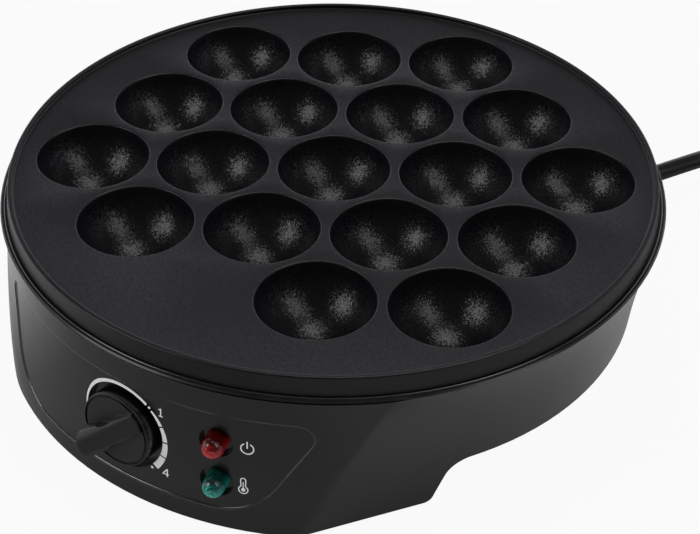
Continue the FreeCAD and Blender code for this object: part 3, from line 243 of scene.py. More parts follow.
def plate_coating(looks):
    """Non-stick coating on cast aluminium: fine pebbled grain that breaks highlights into specks.

    The grain tilts the surface most inside the cups, and little on the flat top and the outer wall.
    """
    finish = Finish("plate_coating")
    cloud = finish.grain(0.03, detail=3.0)
    fleck = finish.grain(looks.coating_grain, detail=1.0)
    across, ahead, height = finish.parts(finish.place)
    walled = ((across * across + ahead * ahead) ** 0.5).over(0.109, 0.111)
    cupped = (1 - height.over(looks.plate_level - 0.003, looks.plate_level)) * (1 - walled)
    return finish.surface(
        base_color=finish.blend(fleck.over(0.35, 0.75), shade(looks.coating_colour, 0.7),
                                shade(looks.coating_colour, 1.4)),
        roughness=0.30 - cupped * 0.08 + cloud * 0.05 + fleck * 0.05,
        normal=finish.facets(looks.coating_grain, tilt=0.035 + cupped * 0.07),
        specular_ior_level=0.42,
    )


def knob_plastic(looks):
    """Spark-eroded black knob plastic, duller on the face than round the skirt, its colour lighter on the
    face as painted light and darker round the skirt as painted shade.
    """
    finish = Finish("knob_plastic")
    grain = finish.grain(0.00028, detail=2.0, roughness=0.6)
    worn = finish.grain(0.012, detail=3.0)
    way = finish.node("ShaderNodeNewGeometry", output="Normal")
    face = finish.vector("DOT_PRODUCT", {0: way, 1: panel_way()}, "Value").over(0.1, 0.5)
    return finish.surface(
        # Painted light and shade: the front-facing face takes a lit copy of the knob colour and the skirt a
        # shaded copy, mixed with real wear.
        base_color=finish.blend(worn * 0.3 + face * 0.7, shade(looks.knob_colour, 0.3),
                                shade(looks.knob_colour, 1.25)),
        roughness=0.18 + face * 0.26 + worn * 0.08,
        normal=finish.bump(grain, 0.00001, edge=looks.edge_softness),
    )


def inner_plastic():
    """Plain black moulded plastic of the hidden and under parts."""
    finish = Finish("inner_plastic")
    grain = finish.grain(0.0004)
    flow = finish.grain(0.02, stretch=(1.0, 0.25, 1.0))
    return finish.surface(
        base_color=finish.blend(flow, (0.012, 0.012, 0.013), (0.02, 0.02, 0.021)),
        roughness=0.4 + flow * 0.15,
        normal=finish.bump(grain, 0.00001, edge=0.0003),
    )


def foot_rubber():
    """Soft black rubber with a dry, dusty face."""
    finish = Finish("foot_rubber")
    grain = finish.grain(0.0006, detail=3.0)
    dust = finish.grain(0.006, detail=3.0)
    return finish.surface(
        base_color=finish.blend(dust.over(0.4, 0.8), (0.014, 0.014, 0.014), (0.035, 0.034, 0.032)),
        roughness=0.7 + dust * 0.2,
        normal=finish.bump(grain, 0.00002, edge=0.0004),
    )


def cord_rubber(looks):
    """Rubber sheath of the lead and the plug: fine grain and a satin sheen."""
    finish = Finish("cord_rubber")
    grain = finish.grain(0.0007)
    dull = finish.grain(0.01, detail=3.0)
    return finish.surface(
        base_color=finish.blend(dull, looks.lead_colour, shade(looks.lead_colour, 1.5)),
        roughness=0.28 + dull * 0.12,
        normal=finish.bump(grain, 0.000012, edge=0.0002),
    )


def bright_metal(name, colour, brushed, roughness):
    """Metal with drawn lines, stains and slightly worn edges."""
    finish = Finish(name)
    lines = finish.grain(0.0008, stretch=brushed)
    stain = finish.grain(0.008, detail=4.0)
    return finish.surface(
        base_color=finish.blend(stain, colour, shade(colour, 0.72)),
        metallic=1.0,
        roughness=roughness + lines * 0.12 + stain * 0.08,
        normal=finish.bump(lines, 0.000008, edge=0.0001),
    )


def heater_sheath():
    """Heat-blued steel tube of the heating element."""
    finish = Finish("heater_sheath")
    heat = finish.grain(0.02, detail=3.0)
    scale = finish.grain(0.0009, detail=3.0)
    straw_to_blue = [(0.3, (0.09, 0.085, 0.08)), (0.5, (0.13, 0.095, 0.06)), (0.7, (0.06, 0.065, 0.09))]
    return finish.surface(
        base_color=finish.node("ShaderNodeValToRGB", {"stops": straw_to_blue}, {"Fac": heat}),
        metallic=0.9,
        roughness=0.38 + scale * 0.2,
        normal=finish.bump(scale, 0.00002),
    )


def lens_finish(name, clear, shaded_colour, spot, lean):
    """Tinted lens over a pressed reflector whose facets show as painted glints; painted light pools below,
    painted shade elsewhere, and it glows as painted light.
    """
    finish = Finish(name)
    local = finish.vector("SUBTRACT", {0: finish.place, 1: spot})
    local = finish.node("ShaderNodeVectorRotate", {"rotation_type": "EULER_XYZ", "invert": True},
                        {"Vector": local, "Rotation": lean})
    across, up, _ = finish.parts(local)
    ring = (across * across + up * up) ** 0.5
    arms, rings_per_metre = 6, 2600
    wave = up.sum("ARCTAN2", up, across) * arms + ring * rings_per_metre
    crack = finish.cells(0.0016)
    # Painted glints: the reflector's facet pattern, brightening both colour and glow.
    glint = wave.sum("SINE", wave).over(0.1, 0.9) * (1 - ring.over(0.0008, 0.0040)) * crack.over(0.1, 0.5)
    # Painted pool of light, brighter towards the lower side of the lens.
    painted_light_pool = (0 - up).over(-0.0035, 0.0036)
    return finish.surface(
        # Colour runs from a painted shaded colour to the lens colour under painted light; the emission is a
        # painted glow that follows the glints and the pool.
        base_color=finish.blend(painted_light_pool * 0.55 + glint * 0.8, shaded_colour, clear),
        roughness=0.10 + crack * 0.08,
        emission_color=finish.blend(glint * 0.6 + painted_light_pool * 0.4, (0.0, 0.0, 0.0), clear),
        emission_strength=0.55,
        normal=finish.bump(crack, 0.0001),
        coat_weight=0.35,
        coat_roughness=0.04,
    )


def lamp_glass():
    """Frosted glass envelope of the indicator lamps."""
    finish = Finish("lamp_glass")
    frost = finish.grain(0.0006, detail=3.0)
    return finish.surface(
        base_color=finish.blend(frost, (0.7, 0.68, 0.62), (0.85, 0.84, 0.8)),
        roughness=0.2 + frost * 0.2,
        normal=finish.bump(frost, 0.00001),
    )


def white_ink(looks):
    """Pad-printed white ink with a slightly uneven film, brightened by a painted glow."""
    finish = Finish("white_ink")
    film = finish.grain(0.0006, detail=3.0)
    colour = finish.blend(film, looks.ink_colour, shade(looks.ink_colour, 0.88))
    return finish.surface(
        base_color=colour,
        roughness=0.5 + film * 0.15,
        # Painted glow: the ink emits its own colour, though it is no lamp.
        emission_color=colour,
        emission_strength=0.3,
        normal=finish.bump(film, 0.000004),
    )


def make_finishes(looks):
    """Make every finish once and keep them by the record's slot names, or by their own."""
    lamp = middle_of("red_lens")
    lean = (math.pi / 2 - PANEL_LEAN, 0.0, math.atan2(lamp.x, -lamp.y))
    SLOT_FINISHES.update({
        "body_plastic": glossy_plastic(looks),
        "cast_coating": plate_coating(looks),
        "knob_plastic": knob_plastic(looks),
        "steel": bright_metal("zinc_steel", (0.62, 0.61, 0.58), brushed=(1.0, 1.0, 6.0), roughness=0.25),
        "sheet_steel": bright_metal("rolled_steel", (0.52, 0.51, 0.49), brushed=(8.0, 1.0, 1.0),
                                    roughness=0.3),
        "heater_sheath": heater_sheath(),
        "foot_rubber": foot_rubber(),
        "inner_plastic": inner_plastic(),
        # The dark colour given to each lens is its painted shaded colour.
        "red_lens": lens_finish("red_lens", looks.red_colour, (0.08, 0.003, 0.004),
                                middle_of("red_lens"), lean),
        "green_lens": lens_finish("green_lens", looks.green_colour, (0.003, 0.05, 0.04),
                                  middle_of("green_lens"), lean),
        "lamp_glass": lamp_glass(),
        "cord_rubber": cord_rubber(looks),
        "pin_metal": bright_metal("plated_brass", (0.78, 0.74, 0.66), brushed=(1.0, 1.0, 5.0),
                                  roughness=0.18),
        "ink": white_ink(looks),
        "polished_edge": polished_edge(looks, "polished_edge", roughness=0.1, shine=0.9),
        "ring_plastic": polished_edge(looks, "ring_plastic", roughness=0.25, shine=0.3),
    })


# --- Mesh helpers ---

def add_object(name, data):
    """Put an object with this data into the scene."""
    made = bpy.data.objects.new(name, data)
    bpy.context.scene.collection.objects.link(made)
    return made


def new_piece(name, bm, slot, smooth):
    """Turn a bmesh in metres into a named piece that rides on the base and wears a slot's finish.

    Edges sharper than the smooth angle, in degrees, stay sharp.
    """
    bmesh.ops.recalc_face_normals(bm, faces=bm.faces)
    mesh = bpy.data.meshes.new(name)
    bm.to_mesh(mesh)
    bm.free()
    piece = add_object(name, mesh)
    for face in mesh.polygons:
        face.use_smooth = True
    mesh.set_sharp_from_angle(angle=math.radians(smooth))
    mesh.materials.append(SLOT_FINISHES[slot])
    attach(piece, "base")
    return piece


def shell_of(node):
    """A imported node's surface, for casting rays at it."""
    mesh = NODES[node].data
    return BVHTree.FromPolygons([v.co for v in mesh.vertices], [p.vertices for p in mesh.polygons])


def ring_of(bm, matrix, radius, level, count):
    """A ring of vertices about the local Z axis, in millimetres."""
    return [bm.verts.new(matrix @ Vector((radius * math.cos(math.tau * i / count) * MM,
                                          radius * math.sin(math.tau * i / count) * MM, level * MM)))
            for i in range(count)]


def bridge(bm, first, second):
    """Join two vertex rings of equal count with quads."""
    count = len(first)
    for i in range(count):
        j = (i + 1) % count
        bm.faces.new((first[i], first[j], second[j], second[i]))


def skin(bm, rings, closed=False):
    """Join each vertex ring to the next, and the last to the first where closed."""
    for first, second in zip(rings, rings[1:] + (rings[:1] if closed else [])):
        bridge(bm, first, second)


def turned(bm, matrix, profile, count, close_start=True, close_end=True):
    """Lathe a profile of (radius, level) in millimetres and return its first and last ring."""
    rings = [ring_of(bm, matrix, radius, level, count) for radius, level in profile]
    skin(bm, rings)
    if close_start:
        bm.faces.new(rings[0])
    if close_end:
        bm.faces.new(list(reversed(rings[-1])))
    return rings[0], rings[-1]


def arc(centre, radius, start, end, steps):
    """Points of a circular arc, in degrees, as (x, y)."""
    return [(centre[0] + radius * math.cos(math.radians(start + (end - start) * i / steps)),
             centre[1] + radius * math.sin(math.radians(start + (end - start) * i / steps)))
            for i in range(steps + 1)]


def circle(centre, radius, count):
    """Points of a whole circle, each once."""
    return arc(centre, radius, 0, 360, count)[:-1]


def clock(radius, degrees):
    """The point at this clock angle from the top, as (x, y)."""
    angle = math.radians(degrees)
    return radius * math.sin(angle), radius * math.cos(angle)


def ring_edges(ring):
    """Edges that run round a closed ring of vertices."""
    edges = []
    for i, vertex in enumerate(ring):
        other = ring[(i + 1) % len(ring)]
        edges.append(next(e for e in vertex.link_edges if other in e.verts))
    return edges


# --- Cooking plate ---

def cup_places(looks):
    """Centres of the eighteen cups in the turned plate, in millimetres."""
    turn = Matrix.Rotation(math.radians(looks.plate_turn), 3, "Z")
    columns = {0: (-1, 0, 1, 2), -1: (-1.5, -0.5, 0.5, 1.5), 1: (-1.5, -0.5, 0.5, 1.5),
               -2: (-1, 0, 1), 2: (-1, 0, 1)}
    pitch = looks.cup_pitch / MM
    return [turn @ Vector((column * pitch * math.sqrt(3) / 2, row * pitch, 0))
            for column, rows in columns.items() for row in rows]


def plate_profile(looks, under):
    """Section of the plate's lip and drop wall, from the flat top round to the underside."""
    low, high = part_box("cooking_plate")
    outer, lip, foot = (high.x - low.x) / 2 / MM, high.z / MM, 58.4
    top = looks.plate_level / MM
    wall = outer - 0.8
    inner = wall - 1.8
    cove, lip_inside, lip_outside, foot_edge, foot_wide, bulge = 0.5, 0.45, 0.6, 0.3, 2.8, 0.35
    profile = arc((inner - cove, top + cove), cove, -90, 0, 4)
    profile += arc((inner + lip_inside, lip - lip_inside), lip_inside, 180, 90, 4)
    profile += arc((wall - lip_outside, lip - lip_outside), lip_outside, 90, 6, 5)
    return profile + [
        (wall + bulge, (lip + foot) / 2), (outer, foot + foot_edge), (outer - foot_edge, foot),
        (outer - foot_wide + foot_edge, foot), (outer - foot_wide, foot + foot_edge),
        (wall - foot_wide, under),
    ]


def build_cooking_plate(looks):
    """The cast plate: coated top with rounded cup rims, raised lip, drop wall and underside."""
    thick, cup_ball, cup_wall = 2.6, 20.11, 1.9
    wall_sides, cup_sides, shell_sides = 256, 72, 48
    top = looks.plate_level / MM
    under, cup_centre = top - thick, top + 2.11
    soft = looks.rim_softness / MM
    bm = bmesh.new()
    first, last = turned(bm, Matrix.Identity(4), plate_profile(looks, under), wall_sides, False, False)
    top_edges, under_edges = ring_edges(first), ring_edges(last)
    reach = math.sqrt((cup_ball + soft) ** 2 - (cup_centre - top + soft) ** 2)
    meet = math.degrees(math.atan2(cup_centre - top + soft, reach))
    rim = arc((reach, top - soft), soft, 90, 180 - meet, 5)
    bowl = arc((0, cup_centre), cup_ball, -meet, -89, 20)[1:]
    shell_ball = cup_ball + cup_wall
    start = math.degrees(math.asin((cup_centre - under) / shell_ball))
    shell = arc((0, cup_centre), shell_ball, -start, -88, 10)
    for middle in cup_places(looks):
        place = Matrix.Translation(middle * MM)
        first, _ = turned(bm, place, rim + bowl, cup_sides, False, True)
        top_edges += ring_edges(first)
        first, _ = turned(bm, place, shell, shell_sides, False, True)
        under_edges += ring_edges(first)
    bmesh.ops.triangle_fill(bm, edges=top_edges, use_beauty=True, normal=(0, 0, 1))
    bmesh.ops.triangle_fill(bm, edges=under_edges, use_beauty=True, normal=(0, 0, -1))
    piece = new_piece("coated_plate", bm, "cast_coating", smooth=40)
    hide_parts("cooking_plate")


# --- Dial print ---

INK_FILM = 0.00006  # how far the ink stands proud of the panel, and reaches into it
KNOB_MIDDLE = (0.0, 0.0297, 0.1189)  # bearing in degrees, level and distance from the plate's axis
POWER_SIGN_AT, HEAT_SIGN_AT = (21.9, 0.0367), (21.2, 0.0208)  # bearing and level of the two signs
SCALE_RADIUS = 15.9
SCALE_ARCS = (  # clock angles and widths at which each arc of the scale starts and ends
    (-101, -40, 0.25, 1.25), (-40, 37, 1.25, 1.0), (46, 67, 0.7, 1.2), (69, 88, 1.2, 1.7),
    (90, 109, 1.7, 2.1), (111, 130, 2.1, 2.4),
)
SCALE_DOTS = ((16.5, 41.5, 0.45), (16.8, 135.5, 0.5))  # reach, clock angle, radius
NUMERAL_ONE = (  # strokes of ink: the width, then the points
    (0.42, (0, -1.6), (0, 0), (0, 1.6)),
    (0.36, (-0.85, 0.95), (-0.35, 1.2), (0.05, 1.55)),
    (0.32, (-0.8, -1.5), (0, -1.5), (0.8, -1.5)),
)
NUMERAL_FOUR = (
    (0.42, (0.5, -1.6), (0.5, 0), (0.5, 1.6)),
    (0.36, (0.45, 1.5), (-0.5, 0.2), (-1.1, -0.6)),
    (0.36, (-1.2, -0.7), (0, -0.7), (1.1, -0.7)),
)


class PanelPrinter:
    """Lays thin ink shapes on the control panel, drawn in millimetres about a point of it."""

    def __init__(self):
        self.shell = shell_of("housing")
        self.bm = bmesh.new()

    def aim(self, bearing, level, distance=None):
        """Point at a place of the panel, found with a ray unless its distance is given."""
        turn = math.radians(bearing)
        ahead = Vector((math.sin(turn), -math.cos(turn), 0.0))
        self.out = panel_way(bearing)
        self.right = Vector((math.cos(turn), math.sin(turn), 0.0))
        self.up = self.out.cross(self.right)
        if distance is None:
            self.middle = self.hit(ahead * 0.2 + Vector((0, 0, level)), ahead)
        else:
            self.middle = ahead * distance + Vector((0, 0, level))

    def hit(self, start, out):
        """Where a ray from the start, against the outward way, meets the panel."""
        spot, _, _, _ = self.shell.ray_cast(start, -out)
        if spot is None:
            raise RuntimeError(f"the print misses the panel from {tuple(start)}")
        return spot

    def point(self, across, above, lift):
        """The point of the panel's surface under this place of the drawing, lifted off it."""
        start = self.middle + self.right * across * MM + self.up * above * MM + self.out * 0.03
        return self.hit(start, self.out) + self.out * lift

    def stroke(self, points, widths, closed=False):
        """A line of ink along these points, with a width at each."""
        rows = []
        count = len(points)
        for i, (x, y) in enumerate(points):
            before = points[(i - 1) % count] if closed or i else points[i]
            after = points[(i + 1) % count] if closed or i < count - 1 else points[i]
            along = Vector((after[0] - before[0], after[1] - before[1])).normalized()
            side = Vector((-along.y, along.x)) * widths[i] / 2
            a, b = (x + side.x, y + side.y), (x - side.x, y - side.y)
            rows.append([self.bm.verts.new(self.point(*p, lift)) for p, lift in
                         ((a, -INK_FILM), (a, INK_FILM), (b, INK_FILM), (b, -INK_FILM))])
        for first, second in zip(rows, rows[1:] + (rows[:1] if closed else [])):
            for i in range(3):
                self.bm.faces.new((first[i], first[i + 1], second[i + 1], second[i]))
        if not closed:
            self.bm.faces.new(rows[0])
            self.bm.faces.new(list(reversed(rows[-1])))

    def sign(self, x, y, strokes):
        """Lines of ink about this place, each of one width."""
        for width, *points in strokes:
            self.stroke([(x + across, y + above) for across, above in points], [width] * len(points))

    def dot(self, x, y, radius):
        """A round dot of ink."""
        lower, upper = ([self.bm.verts.new(self.point(*p, lift)) for p in circle((x, y), radius, 20)]
                        for lift in (-INK_FILM, INK_FILM))
        bridge(self.bm, lower, upper)
        self.bm.faces.new(upper)

    def sweep(self, radius, start, end, width_start, width_end, step=2.0):
        """An arc of ink about the drawing's middle, by clock angles, on a fixed inner radius."""
        steps = max(3, int(abs(end - start) / step))
        points, widths = [], []
        for i in range(steps + 1):
            share = i / steps
            width = width_start + (width_end - width_start) * share
            points.append(clock(radius + width / 2, start + (end - start) * share))
            widths.append(width)
        self.stroke(points, widths)


def build_dial_print():
    """White print of the panel: dial scale with numbers, power ring and thermometer."""
    ink = PanelPrinter()
    ink.aim(*KNOB_MIDDLE)
    for row in SCALE_ARCS:
        ink.sweep(SCALE_RADIUS, *row)
    for reach, angle, radius in SCALE_DOTS:
        ink.dot(*clock(reach, angle), radius)
    ink.sign(15.3, 12.2, NUMERAL_ONE)
    ink.sign(17.0, -12.0, NUMERAL_FOUR)
    ink.aim(*POWER_SIGN_AT)
    ink.sign(0, -0.3, [(0.42, *(clock(2.1, angle) for angle in range(28, 333, 8)))])
    ink.sign(0, 0, [(0.42, (0.0, -0.2), (0.0, 1.2), (0.0, 2.6))])
    ink.aim(*HEAT_SIGN_AT)
    draw_thermometer(ink)
    new_piece("dial_print", ink.bm, "ink", smooth=50)


def draw_thermometer(ink):
    """The thermometer pictogram: outline tube with a bulb, filled bulb and mercury line."""
    bulb, neck = -1.6, 2.3
    outline = [(x, y + bulb) for x, y in (clock(1.55, angle + 180) for angle in range(-150, 151, 15))]
    outline += arc((0.0, neck), 0.85, 180, 0, 8)
    ink.stroke(outline, [0.36] * len(outline), closed=True)
    ink.dot(0.0, bulb, 0.7)
    ink.sign(0, 0, [(0.3, (0.0, -1.2), (0.0, 0.2), (0.0, 1.5))])


# --- Polished trim ---

PANEL_CORNERS = (  # x, z and radius of the recessed panel's corners, as seen from the front
    (-53.9, 9.5, 22.0), (47.1, 9.5, 22.0), (67.4, 48.3, 6.0), (-68.4, 48.3, 6.0),
)
BEAD_REACH = 0.1160  # distance of the bead's middle from the plate's axis


def panel_outline(steps=10, spacing=3.0):
    """Points of the panel's outline in millimetres, seen from the front, each with its outward way."""
    outline = []
    for i, (x, z, radius) in enumerate(PANEL_CORNERS):
        corner = Vector((x, z))
        before = (Vector(PANEL_CORNERS[i - 1][:2]) - corner).normalized()
        after = (Vector(PANEL_CORNERS[(i + 1) % 4][:2]) - corner).normalized()
        half = before.angle(after) / 2
        middle = corner + (before + after).normalized() * radius / math.sin(half)
        start = Vector((before.y, -before.x))
        if start.dot(after) > 0:
            start = -start
        for k in range(steps + 1):
            turn = (math.pi - 2 * half) * k / steps
            out = Vector((start.x * math.cos(turn) - start.y * math.sin(turn),
                          start.x * math.sin(turn) + start.y * math.cos(turn)))
            outline.append((middle + out * radius, out))
    spots = []
    for (start, out), (end, end_out) in zip(outline, outline[1:] + outline[:1]):
        count = max(1, round((end - start).length / spacing))
        spots += [(start.lerp(end, k / count), out.lerp(end_out, k / count).normalized())
                  for k in range(count)]
    return spots


def build_panel_edge(looks):
    """Rounded edge that leads from the housing's skin down into the recessed panel."""
    shell = shell_of("housing")
    beside, proud, sides = 0.35, 0.00003, 12
    middles, normals = [], []
    for spot, out in panel_outline():
        aside = (spot + out * beside) * MM
        hit, normal, _, _ = shell.ray_cast(Vector((aside.x, -0.25, aside.y)), Vector((0, 1, 0)))
        if hit is None:
            raise RuntimeError(f"the panel's edge misses the housing at {spot.x:.1f}, {spot.y:.1f} mm")
        middles.append(Vector((spot.x * MM, hit.y, spot.y * MM)) - normal * (looks.panel_edge - proud))
        normals.append(normal)
    bm = bmesh.new()
    rings = []
    for i, (middle, normal) in enumerate(zip(middles, normals)):
        along = (middles[(i + 1) % len(middles)] - middles[i - 1]).normalized()
        side = along.cross(normal).normalized()
        rings.append([bm.verts.new(middle + side * x + normal * y)
                      for x, y in circle((0, 0), looks.panel_edge, sides)])
    skin(bm, rings, closed=True)
    new_piece("panel_edge", bm, "polished_edge", smooth=60)


def build_ring_bead():
    """Thin polished bead that runs round the top of the trim ring, just outside the plate."""
    hit, _, _, _ = shell_of("trim_ring").ray_cast(Vector((BEAD_REACH, 0.0, 0.1)), Vector((0, 0, -1)))
    if hit is None:
        raise RuntimeError("the bead misses the trim ring")
    thick, proud, sides = 0.36, 0.05, 10
    bm = bmesh.new()
    section = circle((BEAD_REACH / MM, hit.z / MM + proud), thick, sides)
    skin(bm, [ring_of(bm, Matrix.Identity(4), radius, level, 256) for radius, level in section], closed=True)
    new_piece("ring_bead", bm, "polished_edge", smooth=60)


# --- Lead, strain relief and plug ---

LEAD_ROUTE = [
    (0.0631, 0.1281, 0.0120),
    (0.0746, 0.1515, 0.0120),
    (0.0796, 0.1700, 0.0077),
    (0.0850, 0.1885, 0.0034),
    (0.0902, 0.2045, 0.0034),
]
EXIT_BEARING, EXIT_REACH, EXIT_LEVEL = math.radians(63.8), 0.1096, 0.012
LEAD_LIE = 0.0034  # level of the lead's middle where it lies on the table
BOOT_SIDES = 40
COIL_MIDDLE = (0.1291, 0.1919)
COIL_INSIDE, COIL_OUTSIDE = 0.0341, 0.0409
COIL_START, COIL_TURN = 162.0, 1222.0
PLUG_BEARING = math.radians(20.0)
PLUG_SIDE = Vector((math.cos(PLUG_BEARING), math.sin(PLUG_BEARING), 0))
PLUG_ALONG = Vector((math.sin(PLUG_BEARING), -math.cos(PLUG_BEARING), 0))
PLUG_LEVEL = 0.0076
PLUG_RUN = ((0.009, 0.0101), (0.018, 0.0092), (0.028, 0.0078), (0.037, PLUG_LEVEL))  # distance and level


def ease(value, low, high):
    """Smooth step from 0 at low to 1 at high."""
    share = min(1.0, max(0.0, (value - low) / (high - low)))
    return share * share * (3 - 2 * share)


def coil_points():
    """Control points of the put-away turns and of the straight lead to the plug."""
    points = []
    steps = int(COIL_TURN / 15)
    stretch = 1 / math.cos(math.radians(COIL_TURN / steps / 2)) ** 0.5
    for i in range(1, steps + 1):
        turned_by = COIL_TURN * i / steps
        inward = ease(turned_by, 300, 390) - ease(turned_by, 840, 930)
        radius = (COIL_OUTSIDE + (COIL_INSIDE - COIL_OUTSIDE) * inward) * stretch
        angle = math.radians(COIL_START - turned_by)
        points.append((COIL_MIDDLE[0] + radius * math.cos(angle), COIL_MIDDLE[1] + radius * math.sin(angle),
                       LEAD_LIE + 2 * LEAD_LIE * ease(turned_by, 565, 665)))
    for distance, level in PLUG_RUN:
        spot = Vector((*COIL_MIDDLE, level)) + PLUG_SIDE * COIL_OUTSIDE + PLUG_ALONG * distance
        points.append(tuple(spot))
    return points


def build_lead(looks):
    """The mains lead from its strain relief through the coil to the plug, as one curve."""
    curve = bpy.data.curves.new("mains_lead", "CURVE")
    curve.dimensions = "3D"
    curve.resolution_u = 8
    curve.bevel_depth = looks.lead_radius
    curve.bevel_resolution = 6
    curve.use_fill_caps = True
    points = LEAD_ROUTE + coil_points()
    spline = curve.splines.new("NURBS")
    spline.points.add(len(points) - 1)
    for point, spot in zip(spline.points, points):
        point.co = (*spot, 1.0)
    spline.order_u = 3
    spline.use_endpoint_u = True
    lead = add_object("mains_lead", curve)
    curve.materials.append(SLOT_FINISHES["cord_rubber"])
    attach(lead, "base")
    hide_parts("power_cord", "cord_coil", "plug_lead")
    return lead


def ribs(start, end, pitch, width, depth, radius_at):
    """Profile of a boot's ribs, in millimetres, with a radius for each level."""
    slope, groove = 0.3, 0.8
    profile = []
    level = start
    while level < end:
        radius, root = radius_at(level), level + width + slope
        profile += [(radius, level), (radius, level + width),
                    (radius - depth, root), (radius - depth, root + groove)]
        level += pitch
    return profile


def build_strain_relief():
    """Ribbed tapered boot that guides the lead out of the rear wall."""
    along = Vector((math.cos(EXIT_BEARING), math.sin(EXIT_BEARING), 0))
    place = (Matrix.Translation(along * EXIT_REACH + Vector((0, 0, EXIT_LEVEL)))
             @ along.to_track_quat("Z", "Y").to_matrix().to_4x4())
    profile = [(5.2, -3.5), (5.2, 0.9), (7.0, 0.9), (7.0, 2.2), (6.6, 2.7)]
    profile += ribs(4.0, 30.0, pitch=3.3, width=1.9, depth=0.75,
                    radius_at=lambda level: 6.4 - (level - 2.7) / 30.4 * 2.3)
    profile += [(4.1, 31.7), (4.0, 33.1), (3.4, 33.1)]
    bm = bmesh.new()
    turned(bm, place, profile, BOOT_SIDES)
    piece = new_piece("strain_relief", bm, "cord_rubber", smooth=30)
    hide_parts("cord_gland")


def plug_frame():
    """The plug's frame: origin where its boot starts, local Z towards the pins, local X up."""
    boot_from_bend = 0.020
    start = math.sqrt((COIL_OUTSIDE + LEAD_LIE) ** 2 - COIL_OUTSIDE ** 2) + boot_from_bend
    spot = Vector((*COIL_MIDDLE, PLUG_LEVEL)) + PLUG_SIDE * COIL_OUTSIDE + PLUG_ALONG * start
    up = Vector((0, 0, 1))
    turn = Matrix((up, PLUG_ALONG.cross(up), PLUG_ALONG)).transposed().to_4x4()
    return Matrix.Translation(spot) @ turn


def rounded_ring(bm, place, half_high, half_wide, corner, level, count=12):
    """A rounded rectangle of vertices at a level of the plug, in millimetres."""
    ring = []
    corner = min(corner, half_high, half_wide)
    for quarter, (sx, sy) in enumerate(((1, 1), (-1, 1), (-1, -1), (1, -1))):
        middle = (sx * (half_high - corner), sy * (half_wide - corner))
        ring += [bm.verts.new(place @ Vector((x * MM, y * MM, level * MM)))
                 for x, y in arc(middle, corner, 90 * quarter, 90 * quarter + 90, count - 1)]
    return ring


def build_plug():
    """Two-pin plug: ribbed boot, waisted grip and a flat pin face."""
    bm = bmesh.new()
    place = plug_frame()
    profile = [(3.4, 0.0), (4.1, 0.0), (4.1, 1.2)]
    profile += ribs(1.6, 17.0, pitch=3.1, width=1.7, depth=0.7, radius_at=lambda level: 4.1 + level * 0.13)
    profile += [(6.4, 17.4), (7.0, 19.5), (7.2, 24.0)]
    turned(bm, place, profile, BOOT_SIDES)
    throat_high, throat_wide, throat_level = 6.6, 13.5, 22.0
    face_high, face_wide, length, steps = 7.6, 17.5, 30.0, 16
    sections = [(5.2, 11.0, 21.2)]  # half height, half width, level
    for share in [i / steps for i in range(steps)]:
        waist = 1.0 - 0.10 * math.sin(math.pi * min(1.0, share * 1.25))
        half_wide = (throat_wide + (face_wide - throat_wide) * ease(share, 0.0, 0.75)) * waist
        half_high = throat_high + (face_high - throat_high) * ease(share, 0.0, 0.6)
        sections.append((half_high, half_wide, throat_level + length * share))
    sections += [(7.6, 17.4, 51.2), (7.2, 17.0, 52.0)]
    rings = [rounded_ring(bm, place, high, wide, 6.0, level) for high, wide, level in sections]
    skin(bm, rings)
    bm.faces.new(rings[0])
    bm.faces.new(list(reversed(rings[-1])))
    piece = new_piece("mains_plug", bm, "cord_rubber", smooth=30)
    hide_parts("plug_body")


# --- Stage ---

CAMERA_BACK = (0.4445, -0.6513, 0.6149)  # way from the cooker back to the camera
SENSOR_WIDTH = 36.0
SOFTBOXES = (  # name, direction, width and height, and the property that holds its power
    ("overhead_softbox", (-0.10, 0.30, 0.95), (0.8, 0.8), "overhead_power"),
    ("right_softbox", (0.69, 0.06, 0.72), (0.6, 1.2), "right_power"),
    ("front_left_softbox", (-0.49, -0.65, 0.58), (0.7, 0.7), "front_power"),
)
SOFTBOX_AIM, SOFTBOX_DISTANCE = Vector((0.0, 0.0, 0.04)), 1.6


def build_camera(looks):
    """The camera, which looks down at the cooker from the front right."""
    data = bpy.data.cameras.new("camera")
    data.lens = looks.lens
    data.sensor_width = SENSOR_WIDTH
    data.clip_start, data.clip_end = 0.05, 20.0
    back = Vector(CAMERA_BACK).normalized()
    right = Vector((0, 0, 1)).cross(back).normalized()
    up = back.cross(right)
    roll = math.radians(looks.roll)
    right, up = right * math.cos(roll) + up * math.sin(roll), up * math.cos(roll) - right * math.sin(roll)
    turn = Matrix((right, up, back)).transposed().to_4x4()
    camera = add_object("camera", data)
    camera.matrix_world = Matrix.Translation(looks.camera_place) @ turn
    bpy.context.scene.camera = camera


def build_floor(looks):
    """A wide pale floor that shows white to the camera and keeps the soft shadow.

    Glossy rays see it brighter to the left and right of the cooker, and a little below it.
    """
    bm = bmesh.new()
    bmesh.ops.create_circle(bm, cap_ends=True, radius=6.0, segments=96)
    mesh = bpy.data.meshes.new("floor")
    bm.to_mesh(mesh)
    bm.free()
    floor = add_object("floor", mesh)
    finish = Finish("pale_floor")
    colour = finish.blend(finish.grain(0.2), (0.60, 0.60, 0.60), (0.62, 0.62, 0.62))
    diffuse = finish.node("ShaderNodeBsdfDiffuse", None, {"Color": colour})
    glow = finish.node("ShaderNodeEmission", None, {"Color": (1, 1, 1, 1), "Strength": 1.0})
    seen = finish.node("ShaderNodeLightPath", output="Is Camera Ray")
    mirrored = finish.node("ShaderNodeLightPath", output="Is Glossy Ray")
    across, ahead, _ = finish.parts(finish.place)
    on_right = across.over(0.07, 0.13) * 0.18
    on_left = (0 - across).over(0.07, 0.14) * 0.5
    below = (1 - ((across * across + ahead * ahead) ** 0.5).over(0.135, 0.17)) * 0.13
    lift = seen * looks.floor_lift + mirrored * (on_right + on_left + below)
    finish.close(finish.node("ShaderNodeMixShader", None, {0: lift, 1: diffuse, 2: glow}))
    mesh.materials.append(finish.material)


